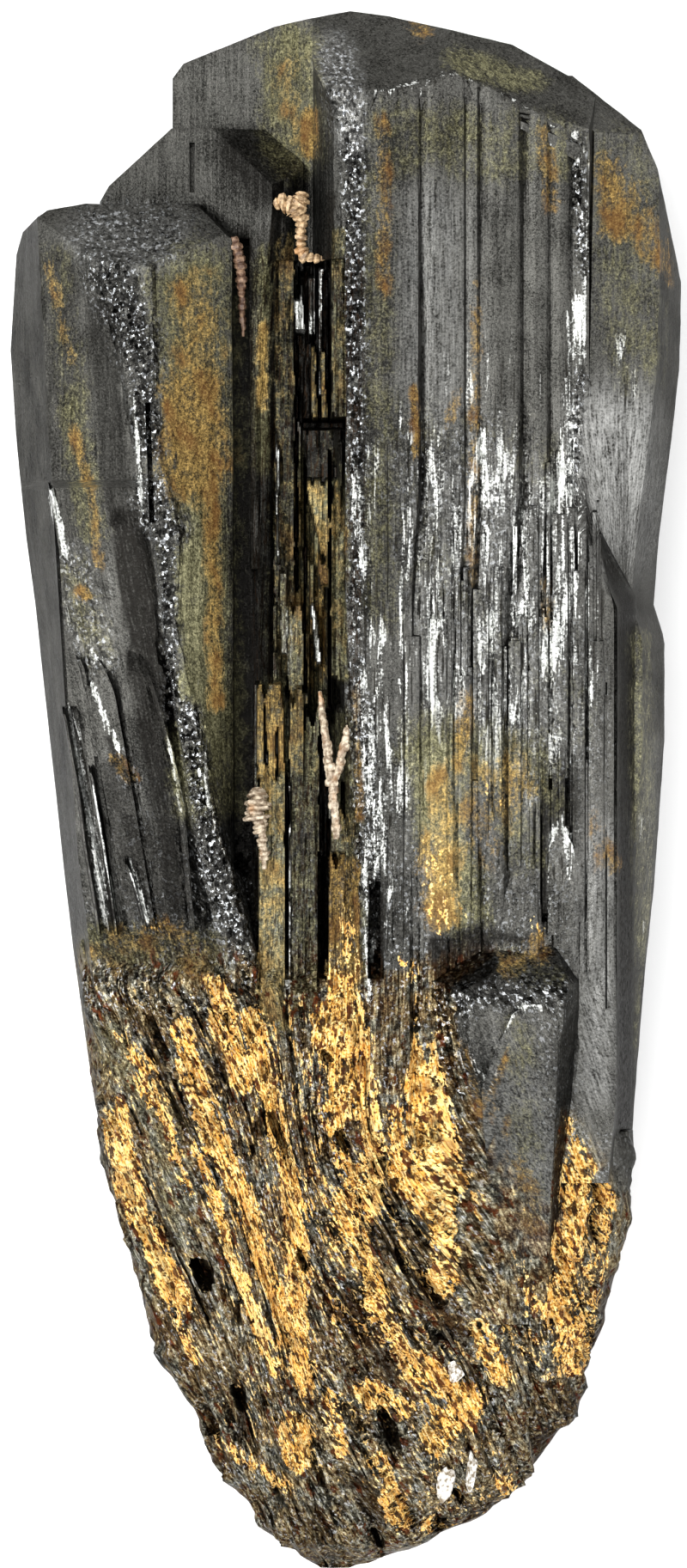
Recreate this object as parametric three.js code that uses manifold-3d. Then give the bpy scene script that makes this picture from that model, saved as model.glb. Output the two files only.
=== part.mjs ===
// A tantalite specimen: black prismatic crystals grown side by side out of a fibrous broken
// root, with pale mica stacks and albite grains in their clefts and pits.
// Millimetres. The specimen lies on its flat back face: +X across it, +Y along the crystals
// towards their ends, +Z up from the surface it rests on, with the origin under its middle.

import * as THREE from "three";
import { mergeVertices } from "three/addons/utils/BufferGeometryUtils.js";
import Module from "manifold-3d";

// ---- driving dimensions -------------------------------------------------------------------

const TIP = 36; // the end of the main crystal
const HALF_WIDTH = 15.55; // the outer flanks of the left and right crystals
const ROOT_END = -36; // the broken end of the root
const KEEL = 19.6; // height of the main crystal's long front edge
const PLATE_FALL = 0.24; // how much the front plate falls away for each millimetre to the right
const PLATE_RAISE = 0.55; // how far the front plate stands out of the main crystal
const RIDGE = 18.4; // height of the left crystal's long front edge
const SECOND_RIDGE = 16.8; // height of the second crystal's long front edge
const CLEFT_FLOOR = 11.2; // height of the floor of the clefts
const CORE_TOP = 11; // height to which the crystals are grown together
const PRISM_FOOT = -18; // where the crystals end inside the root
const SEAT_GAP = 0.22; // room left round a mica stack or a grain in its seat
const FINEST = 0.01; // edges shorter than this are closed up as solids are joined

const BLACK = { color: 0x403f3e, roughness: 0.42, metalness: 0.35 };
const MICA = { color: 0xd3aa84, roughness: 0.6, metalness: 0 };
const ALBITE = { color: 0xe9e0cd, roughness: 0.5, metalness: 0 };

// ---- helpers --------------------------------------------------------------------------------

const wasm = await Module();
wasm.setup();

// Repeatable random numbers from 0 to 1.
function randomFrom(seed) {
  let state = seed;
  return () => {
    state = (state + 0x6d2b79f5) | 0;
    let mixed = Math.imul(state ^ (state >>> 15), 1 | state);
    mixed = (mixed + Math.imul(mixed ^ (mixed >>> 7), 61 | mixed)) ^ mixed;
    return ((mixed ^ (mixed >>> 14)) >>> 0) / 2 ** 32;
  };
}

const mix = (a, b, share) => a + (b - a) * share;
const clamp = (value, low, high) => Math.min(high, Math.max(low, value));

// The value at a place on a line through [place, value] points, listed from low to high.
function along(points, place) {
  let i = 0;
  while (i < points.length - 2 && place > points[i + 1][0]) i++;
  const [low, high] = [points[i], points[i + 1]];
  const share = clamp((place - low[0]) / (high[0] - low[0]), 0, 1);
  return mix(low[1], high[1], share);
}

// A closed geometry as a solid that can be joined and cut.
function solidOf(geometry) {
  const bare = geometry.index ? geometry.toNonIndexed() : geometry.clone();
  bare.deleteAttribute("normal");
  bare.deleteAttribute("uv");
  const merged = mergeVertices(bare, 1e-4);
  const mesh = new wasm.Mesh({
    numProp: 3,
    vertProperties: merged.attributes.position.array,
    triVerts: new Uint32Array(merged.index.array),
    tolerance: FINEST,
  });
  return new wasm.Manifold(mesh);
}

// A solid as a geometry with flat faces.
function geometryOf(solid) {
  const mesh = solid.getMesh();
  const places = new Float32Array(mesh.numVert * 3);
  for (let i = 0; i < mesh.numVert; i++) {
    const from = i * mesh.numProp;
    places.set(mesh.vertProperties.subarray(from, from + 3), i * 3);
  }
  const geometry = new THREE.BufferGeometry();
  geometry.setAttribute("position", new THREE.BufferAttribute(places, 3));
  geometry.setIndex(new THREE.BufferAttribute(mesh.triVerts, 1));
  const flat = geometry.toNonIndexed();
  flat.computeVertexNormals();
  return flat;
}

const joined = (solids) => solids.reduce((all, solid) => all.add(solid));

// A closed skin over rings of equally many [x, y, z] points, one ring for each height y. The
// rings run clockwise as seen from the root.
function skin(rings) {
  const count = rings[0].length;
  const middle = (ring) => [0, 1, 2].map((k) => ring.reduce((sum, p) => sum + p[k], 0) / count);
  const last = rings.length - 1;
  const triangles = [];
  for (let i = 0; i < count; i++) {
    const j = (i + 1) % count;
    for (let r = 0; r < last; r++) {
      triangles.push(rings[r][i], rings[r][j], rings[r + 1][i]);
      triangles.push(rings[r][j], rings[r + 1][j], rings[r + 1][i]);
    }
    triangles.push(middle(rings[0]), rings[0][j], rings[0][i]);
    triangles.push(middle(rings[last]), rings[last][i], rings[last][j]);
  }
  const geometry = new THREE.BufferGeometry();
  geometry.setAttribute("position", new THREE.Float32BufferAttribute(triangles.flat(2), 3));
  return solidOf(geometry);
}

// The space beyond a plane through a point, as a large block.
function beyond({ through, facing }) {
  const size = 4 * TIP;
  const block = new THREE.BoxGeometry(size, size, size);
  block.translate(0, 0, size / 2);
  const normal = new THREE.Vector3(...facing).normalize();
  const turn = new THREE.Quaternion().setFromUnitVectors(new THREE.Vector3(0, 0, 1), normal);
  block.applyQuaternion(turn);
  block.translate(...through);
  return solidOf(block);
}

// A crystal drawn by its long edges, clockwise as seen from the root. Each edge is a list of
// [x, y, z] points from the root up; rough lists how far the points of an edge are shaken;
// spacing adds rows for that; cuts are the planes of its end faces.
function crystal({ edges, rough = [], spacing = 0, seed = 1, cuts = [] }) {
  const random = randomFrom(seed);
  const from = Math.max(...edges.map((edge) => edge[0][1]));
  const to = Math.min(...edges.map((edge) => edge[edge.length - 1][1]));
  const bends = edges.flatMap((edge) => edge.map((point) => point[1]));
  if (spacing) {
    for (let y = from + spacing; y < to - spacing / 2; y += spacing) bends.push(y);
  }
  const heights = [...new Set(bends)].filter((y) => y >= from && y <= to).sort((a, b) => a - b);
  const rings = heights.map((y) =>
    edges.map((edge, i) => {
      const shake = () => (rough[i] ?? 0) * (random() - 0.5);
      const x = along(edge.map((p) => [p[1], p[0]]), y);
      const z = along(edge.map((p) => [p[1], p[2]]), y);
      return [x + shake(), y, z + shake()];
    }),
  );
  return cuts.reduce((body, cut) => body.subtract(beyond(cut)), skin(rings));
}

// A straight upright edge.
const upright = (x, z, from = PRISM_FOOT, to = TIP + 2) => [
  [x, from, z],
  [x, to, z],
];

// The same edge, a little to the side and further back.
const aside = (edge, shift) => edge.map(([x, y, z]) => [x + shift, y, z - Math.abs(shift)]);

// A long thin wedge from foot to tip, both [x, y, z] on its sharp front edge. It is wide across
// at its back, deep from front to back, and its tip is cut to a chisel of the given slant.
function blade({ foot, tip, width, depth, slant = 1.2, front = 0.4 }) {
  const section = ([x, y, z], lean) => {
    const half = width / 2;
    return [
      [x - half, y, z - depth],
      [x - half * 0.8, y, z - depth * 0.25],
      [x - half * front, y + lean * 0.3, z],
      [x + half * front, y + lean * 0.3, z],
      [x + half * 0.9, y, z - depth * 0.2],
      [x + half, y, z - depth],
    ];
  };
  const low = section(foot, 0);
  const high = section(tip, -slant);
  return skin([low, high]);
}

// ---- the main crystal -----------------------------------------------------------------------

// Height of the main crystal's front under its plate.
const plateBack = (x) => KEEL - PLATE_RAISE - PLATE_FALL * Math.max(0, x - 1);

function mainCrystal() {
  const keelLeft = [
    [0.4, PRISM_FOOT, 17.2],
    [0.35, -10, KEEL - 0.6],
    [0.1, 4, KEEL - 0.2],
    [-0.15, 20, KEEL - 0.2],
    [-0.2, 31.2, KEEL - 0.3],
    [-1.2, 33.4, KEEL - 0.4],
    [-1.3, TIP + 2, KEEL - 0.5],
  ];
  const keelRight = keelLeft.map(([x, y, z]) => [x + (y > 33 ? 1.3 : 0.95), y, z + 0.25]);
  const shoulder = [
    [12, PRISM_FOOT],
    [12.4, -14],
    [12.5, 8.4],
    [10.35, 13.5],
    [10.7, 19],
    [11.15, 28.6],
    [11.3, TIP + 2],
  ].map(([x, y]) => [x, y, plateBack(x)]);
  return crystal({
    edges: [
      upright(-8.05, 10.4),
      upright(-1.55, 15.3),
      aside(keelLeft, -0.35),
      keelLeft,
      keelRight,
      shoulder,
      shoulder.map(([x, y]) => [x + 0.5, y, 12]),
      upright(10.6, 0.5),
      upright(9.9, 0),
      upright(4.4, 0),
      upright(4, 0.45),
      upright(1.6, 0.4),
      upright(1.3, 0),
      upright(-6.4, 0),
    ],
    rough: [0, 0, 0, 0.36, 0.36],
    spacing: 3.1,
    seed: 11,
    cuts: [
      { through: [-7.9, 33.5, 15], facing: [-0.35, 0.94, 0] },
      { through: [-7.7, 33.4, 15], facing: [-0.8, 0.6, 0] },
      { through: [0, TIP - 0.05, 12], facing: [0.14, 0.99, 0] },
      { through: [5.6, 35.05, 12], facing: [0.3, 0.95, 0] },
      { through: [9.6, 33.6, 12], facing: [0.66, 0.75, 0] },
      { through: [4.6, 32.6, KEEL - 1.4], facing: [0.08, 0.8, 0.6] },
      { through: [8.4, 31.2, KEEL - 2.2], facing: [0.38, 0.72, 0.58] },
      { through: [-0.6, 35.2, KEEL - 0.4], facing: [-0.1, 0.75, 0.66] },
      { through: [1, 33.6, 0], facing: [0.06, 0.72, -0.7] },
      { through: [-4, 31.4, 0], facing: [-0.3, 0.6, -0.74] },
      { through: [2, -12.5, 0], facing: [-0.05, -0.45, -0.89] },
    ],
  });
}

// The ribbed plate on the front of the main crystal, as lines from left to right: x and y of
// the line's top end, x of its foot, and how deep the line lies in the plate.
const PLATE_LINES = [
  [1.0, 30.9, 1.1, 0.35],
  [1.5, 32.0, 1.6, 0],
  [3.3, 32.4, 2.9, 0],
  [3.45, 32.3, 3.1, 0.32],
  [3.7, 32.5, 3.4, 0.05],
  [4.8, 32.9, 4.5, 0.05],
  [5.4, 32.7, 5.1, 0.12],
  [5.5, 32.6, 5.3, 0.4],
  [6.0, 32.5, 5.7, 0.14],
  [6.15, 32.3, 5.9, 0.36],
  [6.5, 32.3, 6.3, 0.02],
  [7.9, 31.5, 7.2, 0],
  [8.15, 31.2, 7.5, 0.42],
  [8.5, 31.3, 7.9, 0.1],
  [9.2, 30.9, 8.9, 0.06],
  [9.4, 30.7, 9.2, 0.38],
  [9.8, 30.6, 9.7, 0.06],
  [10.1, 30.3, 10.5, 0.1],
  [10.4, 30.0, 10.9, 0.45],
  [10.8, 29.6, 11.6, 0.05],
  [11.15, 28.6, 12.3, 0.1],
];

function frontPlate() {
  const foot = -12;
  const spread = [
    [foot, 1],
    [8.4, 1],
    [13.5, 0],
    [33, 0],
  ];
  const bulge = [
    [foot, -0.5],
    [-2, 0],
    [6, 0.25],
    [14, 0.1],
    [33, 0],
  ];
  const shares = [0, 0.25, 0.42, 0.56, 0.62, 0.8, 1];
  const lineAt = ([topX, topY, footX, deep], share) => {
    const y = mix(foot, topY, share);
    const x = mix(topX, footX, along(spread, y));
    return [x, y, plateBack(x) + PLATE_RAISE - deep + along(bulge, y)];
  };
  const rings = shares.map((share) => {
    const front = PLATE_LINES.map((line) => lineAt(line, share));
    const [leftEnd, rightEnd] = [front[0], front[front.length - 1]];
    const back = [rightEnd, leftEnd].map(([x, y]) => [x, y, plateBack(x) - 1.4]);
    return [...front, ...back];
  });
  return skin(rings);
}

// ---- the crystals beside it -------------------------------------------------------------------

// x of the outer flank of the right crystal at each height y.
const RIGHT_FLANK = [
  [PRISM_FOOT, 13.1],
  [-9, 13.8],
  [-4, 14.3],
  [2.3, 14.75],
  [7, 14.75],
  [8.6, 14.25],
  [11.8, 14.5],
  [16.5, 15.1],
  [19.7, 15.45],
  [24, HALF_WIDTH],
  [33, HALF_WIDTH - 0.1],
];

function rightCrystal() {
  const flank = (inset, z) =>
    RIGHT_FLANK.map(([y, x]) => [x - inset, y, z + 0.12 * Math.min(0, y + 4)]);
  return crystal({
    edges: [
      upright(9, 13, PRISM_FOOT, 34),
      [
        [11.2, PRISM_FOOT, 12.6],
        [11.4, -8, 14.2],
        [11.7, 14, 14.3],
        [12.4, 34, 14.8],
      ],
      flank(1.1, 13.6),
      flank(0, 9.4),
      flank(1.6, 2.6),
      upright(7, 1.2, PRISM_FOOT, 34),
    ],
    cuts: [
      { through: [12.7, 31.2, 12], facing: [0.62, 0.78, 0] },
      { through: [14.2, 29.4, 11], facing: [0.97, 0.22, 0] },
      { through: [15.25, 26.6, 11], facing: [0.92, 0.39, 0] },
      { through: [12.2, 30.9, 14.2], facing: [0.4, 0.7, 0.6] },
      { through: [12, 30, 2], facing: [0.3, 0.7, -0.65] },
    ],
  });
}

// How far out the flank of the left crystal is at each height y.
const LEFT_FLANK = [
  [PRISM_FOOT, 10.9],
  [-14.4, 11.65],
  [-7.3, 12.65],
  [0.7, 13.55],
  [8.6, 14.4],
  [12, 14.85],
  [16.5, 15.3],
  [20.4, HALF_WIDTH],
  [24.5, 15.3],
  [29, 15.0],
];

function leftCrystal() {
  const flank = LEFT_FLANK.map(([y, x]) => [-x, y, 9.6 + 0.1 * Math.min(0, y + 8)]);
  const frontLeft = [
    [-10.4, PRISM_FOOT, 13],
    [-12.3, -3.3, 15.4],
    [-13.4, 12, 15.6],
    [-14.2, 26, 15.4],
    [-14.2, 29, 15.3],
  ];
  const ridgeLeft = [
    [-4.5, PRISM_FOOT, 15],
    [-5.6, -8, RIDGE - 1],
    [-7.1, -1.7, RIDGE - 0.4],
    [-8.5, 7.8, RIDGE - 0.1],
    [-9, 11.8, RIDGE],
    [-10.2, 19.7, RIDGE],
    [-11.4, 24, RIDGE - 0.3],
    [-11.6, 29, RIDGE - 0.5],
  ];
  const ridgeRight = [
    [-3.6, PRISM_FOOT, 15],
    [-4.2, -8, RIDGE - 0.9],
    [-6.1, -1.7, RIDGE - 0.1],
    [-7.8, 7.8, RIDGE],
    [-7.7, 11.8, RIDGE + 0.1],
    [-8.7, 16, RIDGE + 0.1],
    [-9, 24, RIDGE],
    [-8.6, 29, RIDGE - 0.1],
  ];
  return crystal({
    edges: [
      flank,
      frontLeft,
      aside(ridgeLeft, -0.3),
      ridgeLeft,
      ridgeRight,
      aside(ridgeRight, 0.25),
      [
        [-3.2, PRISM_FOOT, 14],
        [-3.9, -8, 16.4],
        [-5.2, -2, 16.2],
        [-5.2, 29, 16.2],
      ],
      upright(-5.2, 5, PRISM_FOOT, 29),
      upright(-11.2, 2.6, PRISM_FOOT, 29),
    ],
    rough: [0, 0, 0, 0.45, 0.45],
    spacing: 2.6,
    seed: 23,
    cuts: [
      { through: [-9, 27.1, 12], facing: [0, 1, 0.02] },
      { through: [-9.5, 25.6, 16.4], facing: [0, 0.8, 0.6] },
      { through: [-5.9, 26.1, 15], facing: [0.64, 0.76, 0.12] },
      { through: [-11.5, 27.15, 13], facing: [-0.18, 0.98, 0] },
      { through: [-14.2, 26.4, 12], facing: [-0.6, 0.8, 0] },
      { through: [-15.1, 25.4, 12], facing: [-0.95, 0.3, 0] },
      { through: [-9, 25.4, 3], facing: [-0.1, 0.7, -0.7] },
    ],
  });
}

function secondCrystal() {
  const front = [
    [-4.3, -14, SECOND_RIDGE - 1.4],
    [-4.3, 2, SECOND_RIDGE - 0.4],
    [-4.2, 18, SECOND_RIDGE],
    [-3.4, 27, SECOND_RIDGE],
    [-3.3, 33, SECOND_RIDGE],
  ];
  const right = [
    [-2.7, -14, 14],
    [-2.6, 18, 15.4],
    [-2, 27.8, 15.5],
    [-1.9, 33, 15.5],
  ];
  return crystal({
    edges: [
      upright(-11.4, 9.6, -14, 33),
      upright(-7.7, 13, -14, 33),
      front,
      right,
      upright(-2, 8, -14, 33),
      upright(-10, 4, -14, 33),
    ],
    cuts: [
      { through: [-5, 30.5, 10], facing: [0.02, 1, 0] },
      { through: [-8.6, 30.1, 10], facing: [-0.66, 0.75, 0] },
      { through: [-11.1, 27.8, 10], facing: [-0.85, 0.5, 0] },
      { through: [-8, 29.2, 5], facing: [-0.2, 0.75, -0.6] },
      { through: [-3.3, 27, SECOND_RIDGE], facing: [0.43, 0.75, 0.5] },
    ],
  });
}

// ---- the clefts and the blades in them ----------------------------------------------------------

function clefts() {
  const open = 26;
  const wedge = (foot, tip, width, floor) =>
    blade({
      foot: [foot[0], foot[1], open],
      tip: [tip[0], tip[1], open],
      width,
      depth: open - floor,
      slant: 0,
      front: 1.3,
    });
  return [
    wedge([-4.75, -3.6], [-4.85, 25.4], 0.8, CLEFT_FLOOR),
    wedge([-1.3, -9.4], [-1.3, 23.4], 2.2, CLEFT_FLOOR),
    wedge([13, -15.6], [13, 8.6], 0.62, 12.6),
    wedge([13, 8.3], [10.95, 13.4], 0.55, 12.6),
    wedge([-8.9, 12.3], [-9.1, 17.8], 0.36, 15.8),
    wedge([-7.1, 27.6], [-7.1, 29.9], 0.25, 12.2),
    wedge([1.5, -8.6], [1.5, -3.8], 0.6, 16.2),
    wedge([9.15, -6.4], [9.15, 0.9], 0.42, 16),
    wedge([9.6, -1.2], [9.8, 0.7], 1.1, 16.4),
  ];
}

// [x and y of the foot, x and y of the tip, height of the front edge, width]
const CLEFT_BLADES = [
  [-2.25, -10, -2.3, 22, 15.2, 0.5],
  [-1.75, -10, -1.7, 9.5, 16.6, 0.42],
  [-1.9, 12, -1.6, 23.2, 15.8, 0.4],
  [-1.2, -10, -1.15, 16.6, 17.2, 0.4],
  [-0.9, 17.2, -0.9, 24.5, 17, 0.5],
  [-0.65, -10, -0.6, 8.4, 17.9, 0.36],
  [-0.5, 8, -0.45, 21, 18.2, 0.3],
  [-3.3, -11, -3.35, 4.8, 16.9, 1.1],
  [-1.9, -11, -1.9, 1.5, 17.1, 1],
  [0.1, -11, 0.0, -2.6, 18.2, 0.9],
];

// Blades that slant over the left crystal's front, in the same terms.
const SLANTING_BLADES = [
  [-6.3, -7.6, -10.6, 12.6, 18.3, 1.5],
  [-6.6, -7.6, -9.9, 6.9, 18.9, 1.3],
  [-10.6, -7.4, -12.7, 6.2, 17.2, 0.7],
  [-11.3, -7.4, -13.1, 13.8, 16.6, 0.55],
  [-9.6, -7.4, -11.3, 4.6, 17.7, 0.6],
];

function blades() {
  const made = ([footX, footY, tipX, tipY, z, width], depth) =>
    blade({ foot: [footX, footY, z - 0.3], tip: [tipX, tipY, z], width, depth });
  return [
    ...CLEFT_BLADES.map((row) => made(row, 5.5)),
    ...SLANTING_BLADES.map((row) => made(row, 3)),
  ];
}

// The small crystal low on the front, and the block behind its end.
function tongueCrystal() {
  const top = KEEL + 0.3;
  const tongue = crystal({
    edges: [
      [
        [3, -24.5, 14.5],
        [2.6, -12, 17.4],
        [2.4, -5, 17.6],
      ],
      [
        [7.2, -24.5, 16.6],
        [6, -12.4, top],
        [5.8, -5, top + 0.2],
      ],
      [
        [9.3, -24.5, 15.4],
        [9.7, -12, top - 0.2],
        [9.8, -5, top],
      ],
      [
        [9.6, -24.5, 14.8],
        [10.4, -12, 16.6],
        [10.4, -5, 16.6],
      ],
      upright(9.6, 12, -24.5, -5),
      upright(3.4, 12, -24.5, -5),
    ],
    cuts: [
      { through: [6.2, -7.6, 18.6], facing: [0.1, 0.72, 0.69] },
      { through: [3.4, -8.2, 18], facing: [-0.42, 0.6, 0.68] },
      { through: [7, -9.6, top - 0.1], facing: [0.05, 0.4, 0.92] },
    ],
  });
  const block = crystal({
    edges: [
      upright(6.3, 16, -8, -3.9),
      upright(6.5, 18.9, -8, -3.9),
      upright(8.8, 18.4, -8, -3.9),
      upright(9, 16, -8, -3.9),
    ],
    cuts: [{ through: [7.6, -4.4, 18.3], facing: [0.2, 0.6, 0.76] }],
  });
  return tongue.add(block);
}

// ---- the root -------------------------------------------------------------------------------

// The root's outline: at each height y, the x of its left and right side.
const ROOT_LEFT = [
  [-36, -1.4],
  [-35.1, -2.7],
  [-34.1, -4],
  [-33.1, -4.5],
  [-31.7, -5.8],
  [-30.3, -6.6],
  [-28.8, -7],
  [-27.4, -7.9],
  [-26, -8.8],
  [-23.1, -9.6],
  [-20, -10.6],
  [-17, -11.4],
  [-12, -11.9],
  [-6, -12.6],
];
const ROOT_RIGHT = [
  [-36, 0.3],
  [-35.5, 1.8],
  [-34.6, 4],
  [-33.6, 6.3],
  [-32.2, 8.2],
  [-31.2, 8.9],
  [-29.8, 9.8],
  [-28.8, 10.7],
  [-26, 11.5],
  [-23.1, 12.4],
  [-20, 13.2],
  [-17, 13.4],
  [-12, 13.4],
  [-6, 14],
];
const ROOT_FRONT = [
  [-36, 9],
  [-34.8, 12],
  [-31, 14.4],
  [-26, 16],
  [-20, 17.3],
  [-13, 18],
  [-9.2, 17.9],
  [-6, 16.4],
];
const ROOT_BACK = [
  [-36, 5.4],
  [-34.5, 3.2],
  [-31, 1.6],
  [-26, 0.6],
  [-20, 0.2],
  [-6, 0.2],
];
const ROOT_BELLY = 8.4; // height at which the root is widest
const ROOT_TOP = -6.6; // where the root ends under the crystals, as a ledge

// Height of the root's front at a place.
function rootFront(x, y) {
  const [left, right] = [along(ROOT_LEFT, y), along(ROOT_RIGHT, y)];
  const across = clamp(Math.abs(x - (left + right) / 2) / ((right - left) / 2), 0, 1);
  const up = Math.sqrt(1 - across ** 2.5);
  return mix(ROOT_BELLY, along(ROOT_FRONT, y), up ** 0.62);
}

function rootBody() {
  const random = randomFrom(77);
  const columns = 36;
  const rows = 19;
  const rings = [];
  for (let row = 0; row < rows; row++) {
    const y = mix(ROOT_END, ROOT_TOP, (row / (rows - 1)) ** 1.25);
    const [left, right] = [along(ROOT_LEFT, y), along(ROOT_RIGHT, y)];
    const half = (right - left) / 2;
    const ring = [];
    for (let column = 0; column < columns; column++) {
      const turn = Math.PI - (2 * Math.PI * column) / columns;
      const [across, up] = [Math.cos(turn), Math.sin(turn)];
      const x = (left + right) / 2 + half * Math.sign(across) * Math.abs(across) ** 0.8;
      const back = mix(ROOT_BELLY, along(ROOT_BACK, y), Math.abs(up) ** 0.4);
      const lump = (up > 0.05 ? 0.8 : 0.3) * (random() - 0.5);
      const inward = Math.abs(across) * 0.5 * (random() - 0.62) * Math.sign(across);
      ring.push([x - inward, y, (up > 0 ? rootFront(x, y) : back) + lump]);
    }
    rings.push(ring);
  }
  return skin(rings);
}

// The blades of the root run down from the crystals and close up towards its broken end. Each
// is told by where it would be at the ledge, and leans in as it goes down.
function rootBlades() {
  const random = randomFrom(5);
  const made = [];
  for (let start = -19; start < 12.6; start += 1.12 + 0.35 * random()) {
    const closing = start < 0 ? 0.1 : 0.012;
    const xAt = (y) => start / (1 + closing * (ROOT_TOP - 3 - y));
    const inside = (y) => {
      const x = xAt(y);
      return x > along(ROOT_LEFT, y) + 0.7 && x < along(ROOT_RIGHT, y) - 0.7;
    };
    let high = ROOT_TOP - 1.2 - 2.4 * random();
    while (!inside(high) && high > -30) high -= 0.5;
    let low = high;
    const reach = high - 12 - 14 * random();
    while (inside(low - 0.5) && low > Math.max(reach, -34.6)) low -= 0.5;
    if (high - low < 3) continue;
    const [width, raise] = [0.5 + 0.45 * random(), 0.25 + 0.65 * random()];
    const steps = Math.max(2, Math.round((high - low) / 4.5));
    const rings = [];
    for (let step = 0; step <= steps; step++) {
      const y = mix(low, high, step / steps);
      const [x, end] = [xAt(y), step === 0 || step === steps];
      const z = rootFront(x, y) + (end ? -0.5 : raise + 0.3 * (random() - 0.5));
      const half = width * (end ? 0.5 : 1);
      rings.push([
        [x - half, y, z - 2.4],
        [x - half * (0.2 + 0.5 * random()), y, z],
        [x + half * (0.1 + 0.5 * random()), y, z - 0.1],
        [x + half, y, z - 2.4],
      ]);
    }
    made.push(skin(rings));
  }
  return joined(made);
}

// Pits where blades have broken out of the root: x, y, width, length, depth.
const ROOT_PITS = [
  [-6.63, -22.17, 1.1, 1.9, 2.2],
  [1.9, -29.25, 0.9, 2, 1.8],
  [-4.9, -28, 0.7, 1.4, 1.4],
  [-3.1, -15.8, 0.6, 2.2, 1.5],
  [-0.2, -16, 0.6, 1.4, 1.2],
  [4.8, -26.6, 1, 1.2, 1.2],
  [5.4, -31.6, 0.9, 2.2, 1],
];

function rootPits() {
  return joined(
    ROOT_PITS.map(([x, y, width, length, depth]) => {
      const pit = new THREE.IcosahedronGeometry(1, 1);
      pit.rotateY(0.4);
      pit.scale(width / 2, length / 2, depth);
      pit.translate(x, y, rootFront(x, y) + 0.2);
      return solidOf(pit);
    }),
  );
}

// What fills the inside, so that nothing hollow is left between the crystals.
function core() {
  const [foot, head] = [PRISM_FOOT + 0.7, 23.3];
  return crystal({
    edges: [
      upright(-10.4, CORE_TOP - 3, foot, head),
      upright(-9, CORE_TOP, foot, head),
      upright(12, CORE_TOP, foot, head),
      upright(12.4, CORE_TOP - 3, foot, head),
      upright(9, 1, foot, head),
      upright(-9.5, 1.8, foot, head),
    ],
  });
}

function tantaliteCrystals() {
  const prisms = joined([
    core(),
    mainCrystal(),
    frontPlate(),
    rightCrystal(),
    leftCrystal(),
    secondCrystal(),
  ]);
  const opened = prisms.subtract(joined(clefts()));
  const grown = joined([opened, ...blades(), tongueCrystal(), rootBody(), rootBlades()]);
  const pitted = grown.subtract(rootPits());
  return pitted.subtract(beyond({ through: [0, 0, 0], facing: [0, 0, -1] }));
}

// ---- what sits in the clefts and pits -----------------------------------------------------

// Mica stacks, each a worm of thin plates: [x, y, z, radius] points from its foot up.
const MICA_STACKS = {
  mica_stack_upper: [
    [-1.65, 24.25, 16.9, 0.75],
    [-1.75, 24.6, 16.8, 0.45],
    [-2, 25, 16.8, 0.34],
    [-2.05, 26.1, 16.9, 0.36],
    [-2.35, 26.5, 17, 0.6],
    [-2.5, 27.3, 17, 0.5],
  ],
  mica_vein_left: [
    [-4.8, 21, 15.2, 0.12],
    [-4.82, 23.6, 15.6, 0.24],
    [-4.86, 25.1, 15.7, 0.26],
  ],
  mica_stack_knotted: [
    [-3.9, -5.6, 17.2, 0.22],
    [-3.85, -2, 17.4, 0.28],
    [-4, -1.5, 17.4, 0.55],
    [-4, -0.4, 17.4, 0.5],
    [-4.05, 0.2, 17.3, 0.25],
  ],
  mica_stack_forked: [
    [-0.5, -2.4, 18.5, 0.25],
    [-0.6, -1.2, 18.6, 0.36],
    [-0.95, 1.4, 18.5, 0.38],
    [-1.2, 3.4, 18, 0.3],
    [-1.3, 4.6, 17.7, 0.2],
  ],
};
const FORK = [
  [-0.85, 0.5, 18.6, 0.3],
  [-0.3, 1.6, 18.7, 0.32],
  [0.02, 3, 18.7, 0.3],
  [0.1, 3.5, 18.6, 0.2],
];

// A worm along the points. Its plates are thin rings of two sizes; grown by a gap it is the
// seat that the worm sits in.
function worm(points, plates, gap = 0) {
  const sides = 7;
  const part = (k) => points.map((p) => [p[1], p[k]]);
  const [low, high] = [points[0][1] - gap, points[points.length - 1][1] + gap];
  const rings = [];
  for (let plate = 0; plate <= plates; plate++) {
    const y = mix(low, high, plate / plates);
    const step = gap ? 1 : 1 - 0.22 * (plate % 2);
    const radius = along(part(3), y) * step + gap;
    const ring = [];
    for (let side = 0; side < sides; side++) {
      const turn = (-2 * Math.PI * (side + 0.3 * plate * (gap ? 0 : 1))) / sides;
      const [x, z] = [along(part(0), y), along(part(2), y)];
      ring.push([x + radius * Math.cos(turn), y, z + radius * Math.sin(turn)]);
    }
    rings.push(ring);
  }
  return skin(rings);
}

function micaStack(name, gap = 0) {
  const points = MICA_STACKS[name];
  const length = points[points.length - 1][1] - points[0][1];
  const stem = worm(points, gap ? 5 : Math.round(clamp(length / 0.3, 8, 18)), gap);
  return name === "mica_stack_forked" ? stem.add(worm(FORK, gap ? 3 : 9, gap)) : stem;
}

// Albite grains: x, y, width, length, turn about Z.
const ALBITE_GRAINS = {
  albite_grain_upper: [5.05, -26.7, 0.75, 0.95, 0.4],
  albite_grain_lower: [4.6, -31.9, 0.85, 1.6, -0.2],
  albite_grain_side: [5.75, -31.2, 0.5, 2, -0.1],
};

function albiteGrain(name, gap = 0) {
  const [x, y, width, length, turn] = ALBITE_GRAINS[name];
  const grain = new THREE.DodecahedronGeometry(1, 0);
  grain.rotateX(0.5);
  grain.scale(width / 2 + gap, length / 2 + gap, 0.6 + gap);
  grain.rotateZ(turn);
  grain.translate(x, y, rootFront(x, y) + 0.35);
  return solidOf(grain);
}

// ---- the assembly -----------------------------------------------------------------------------

const specimen = new THREE.Group();

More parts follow.
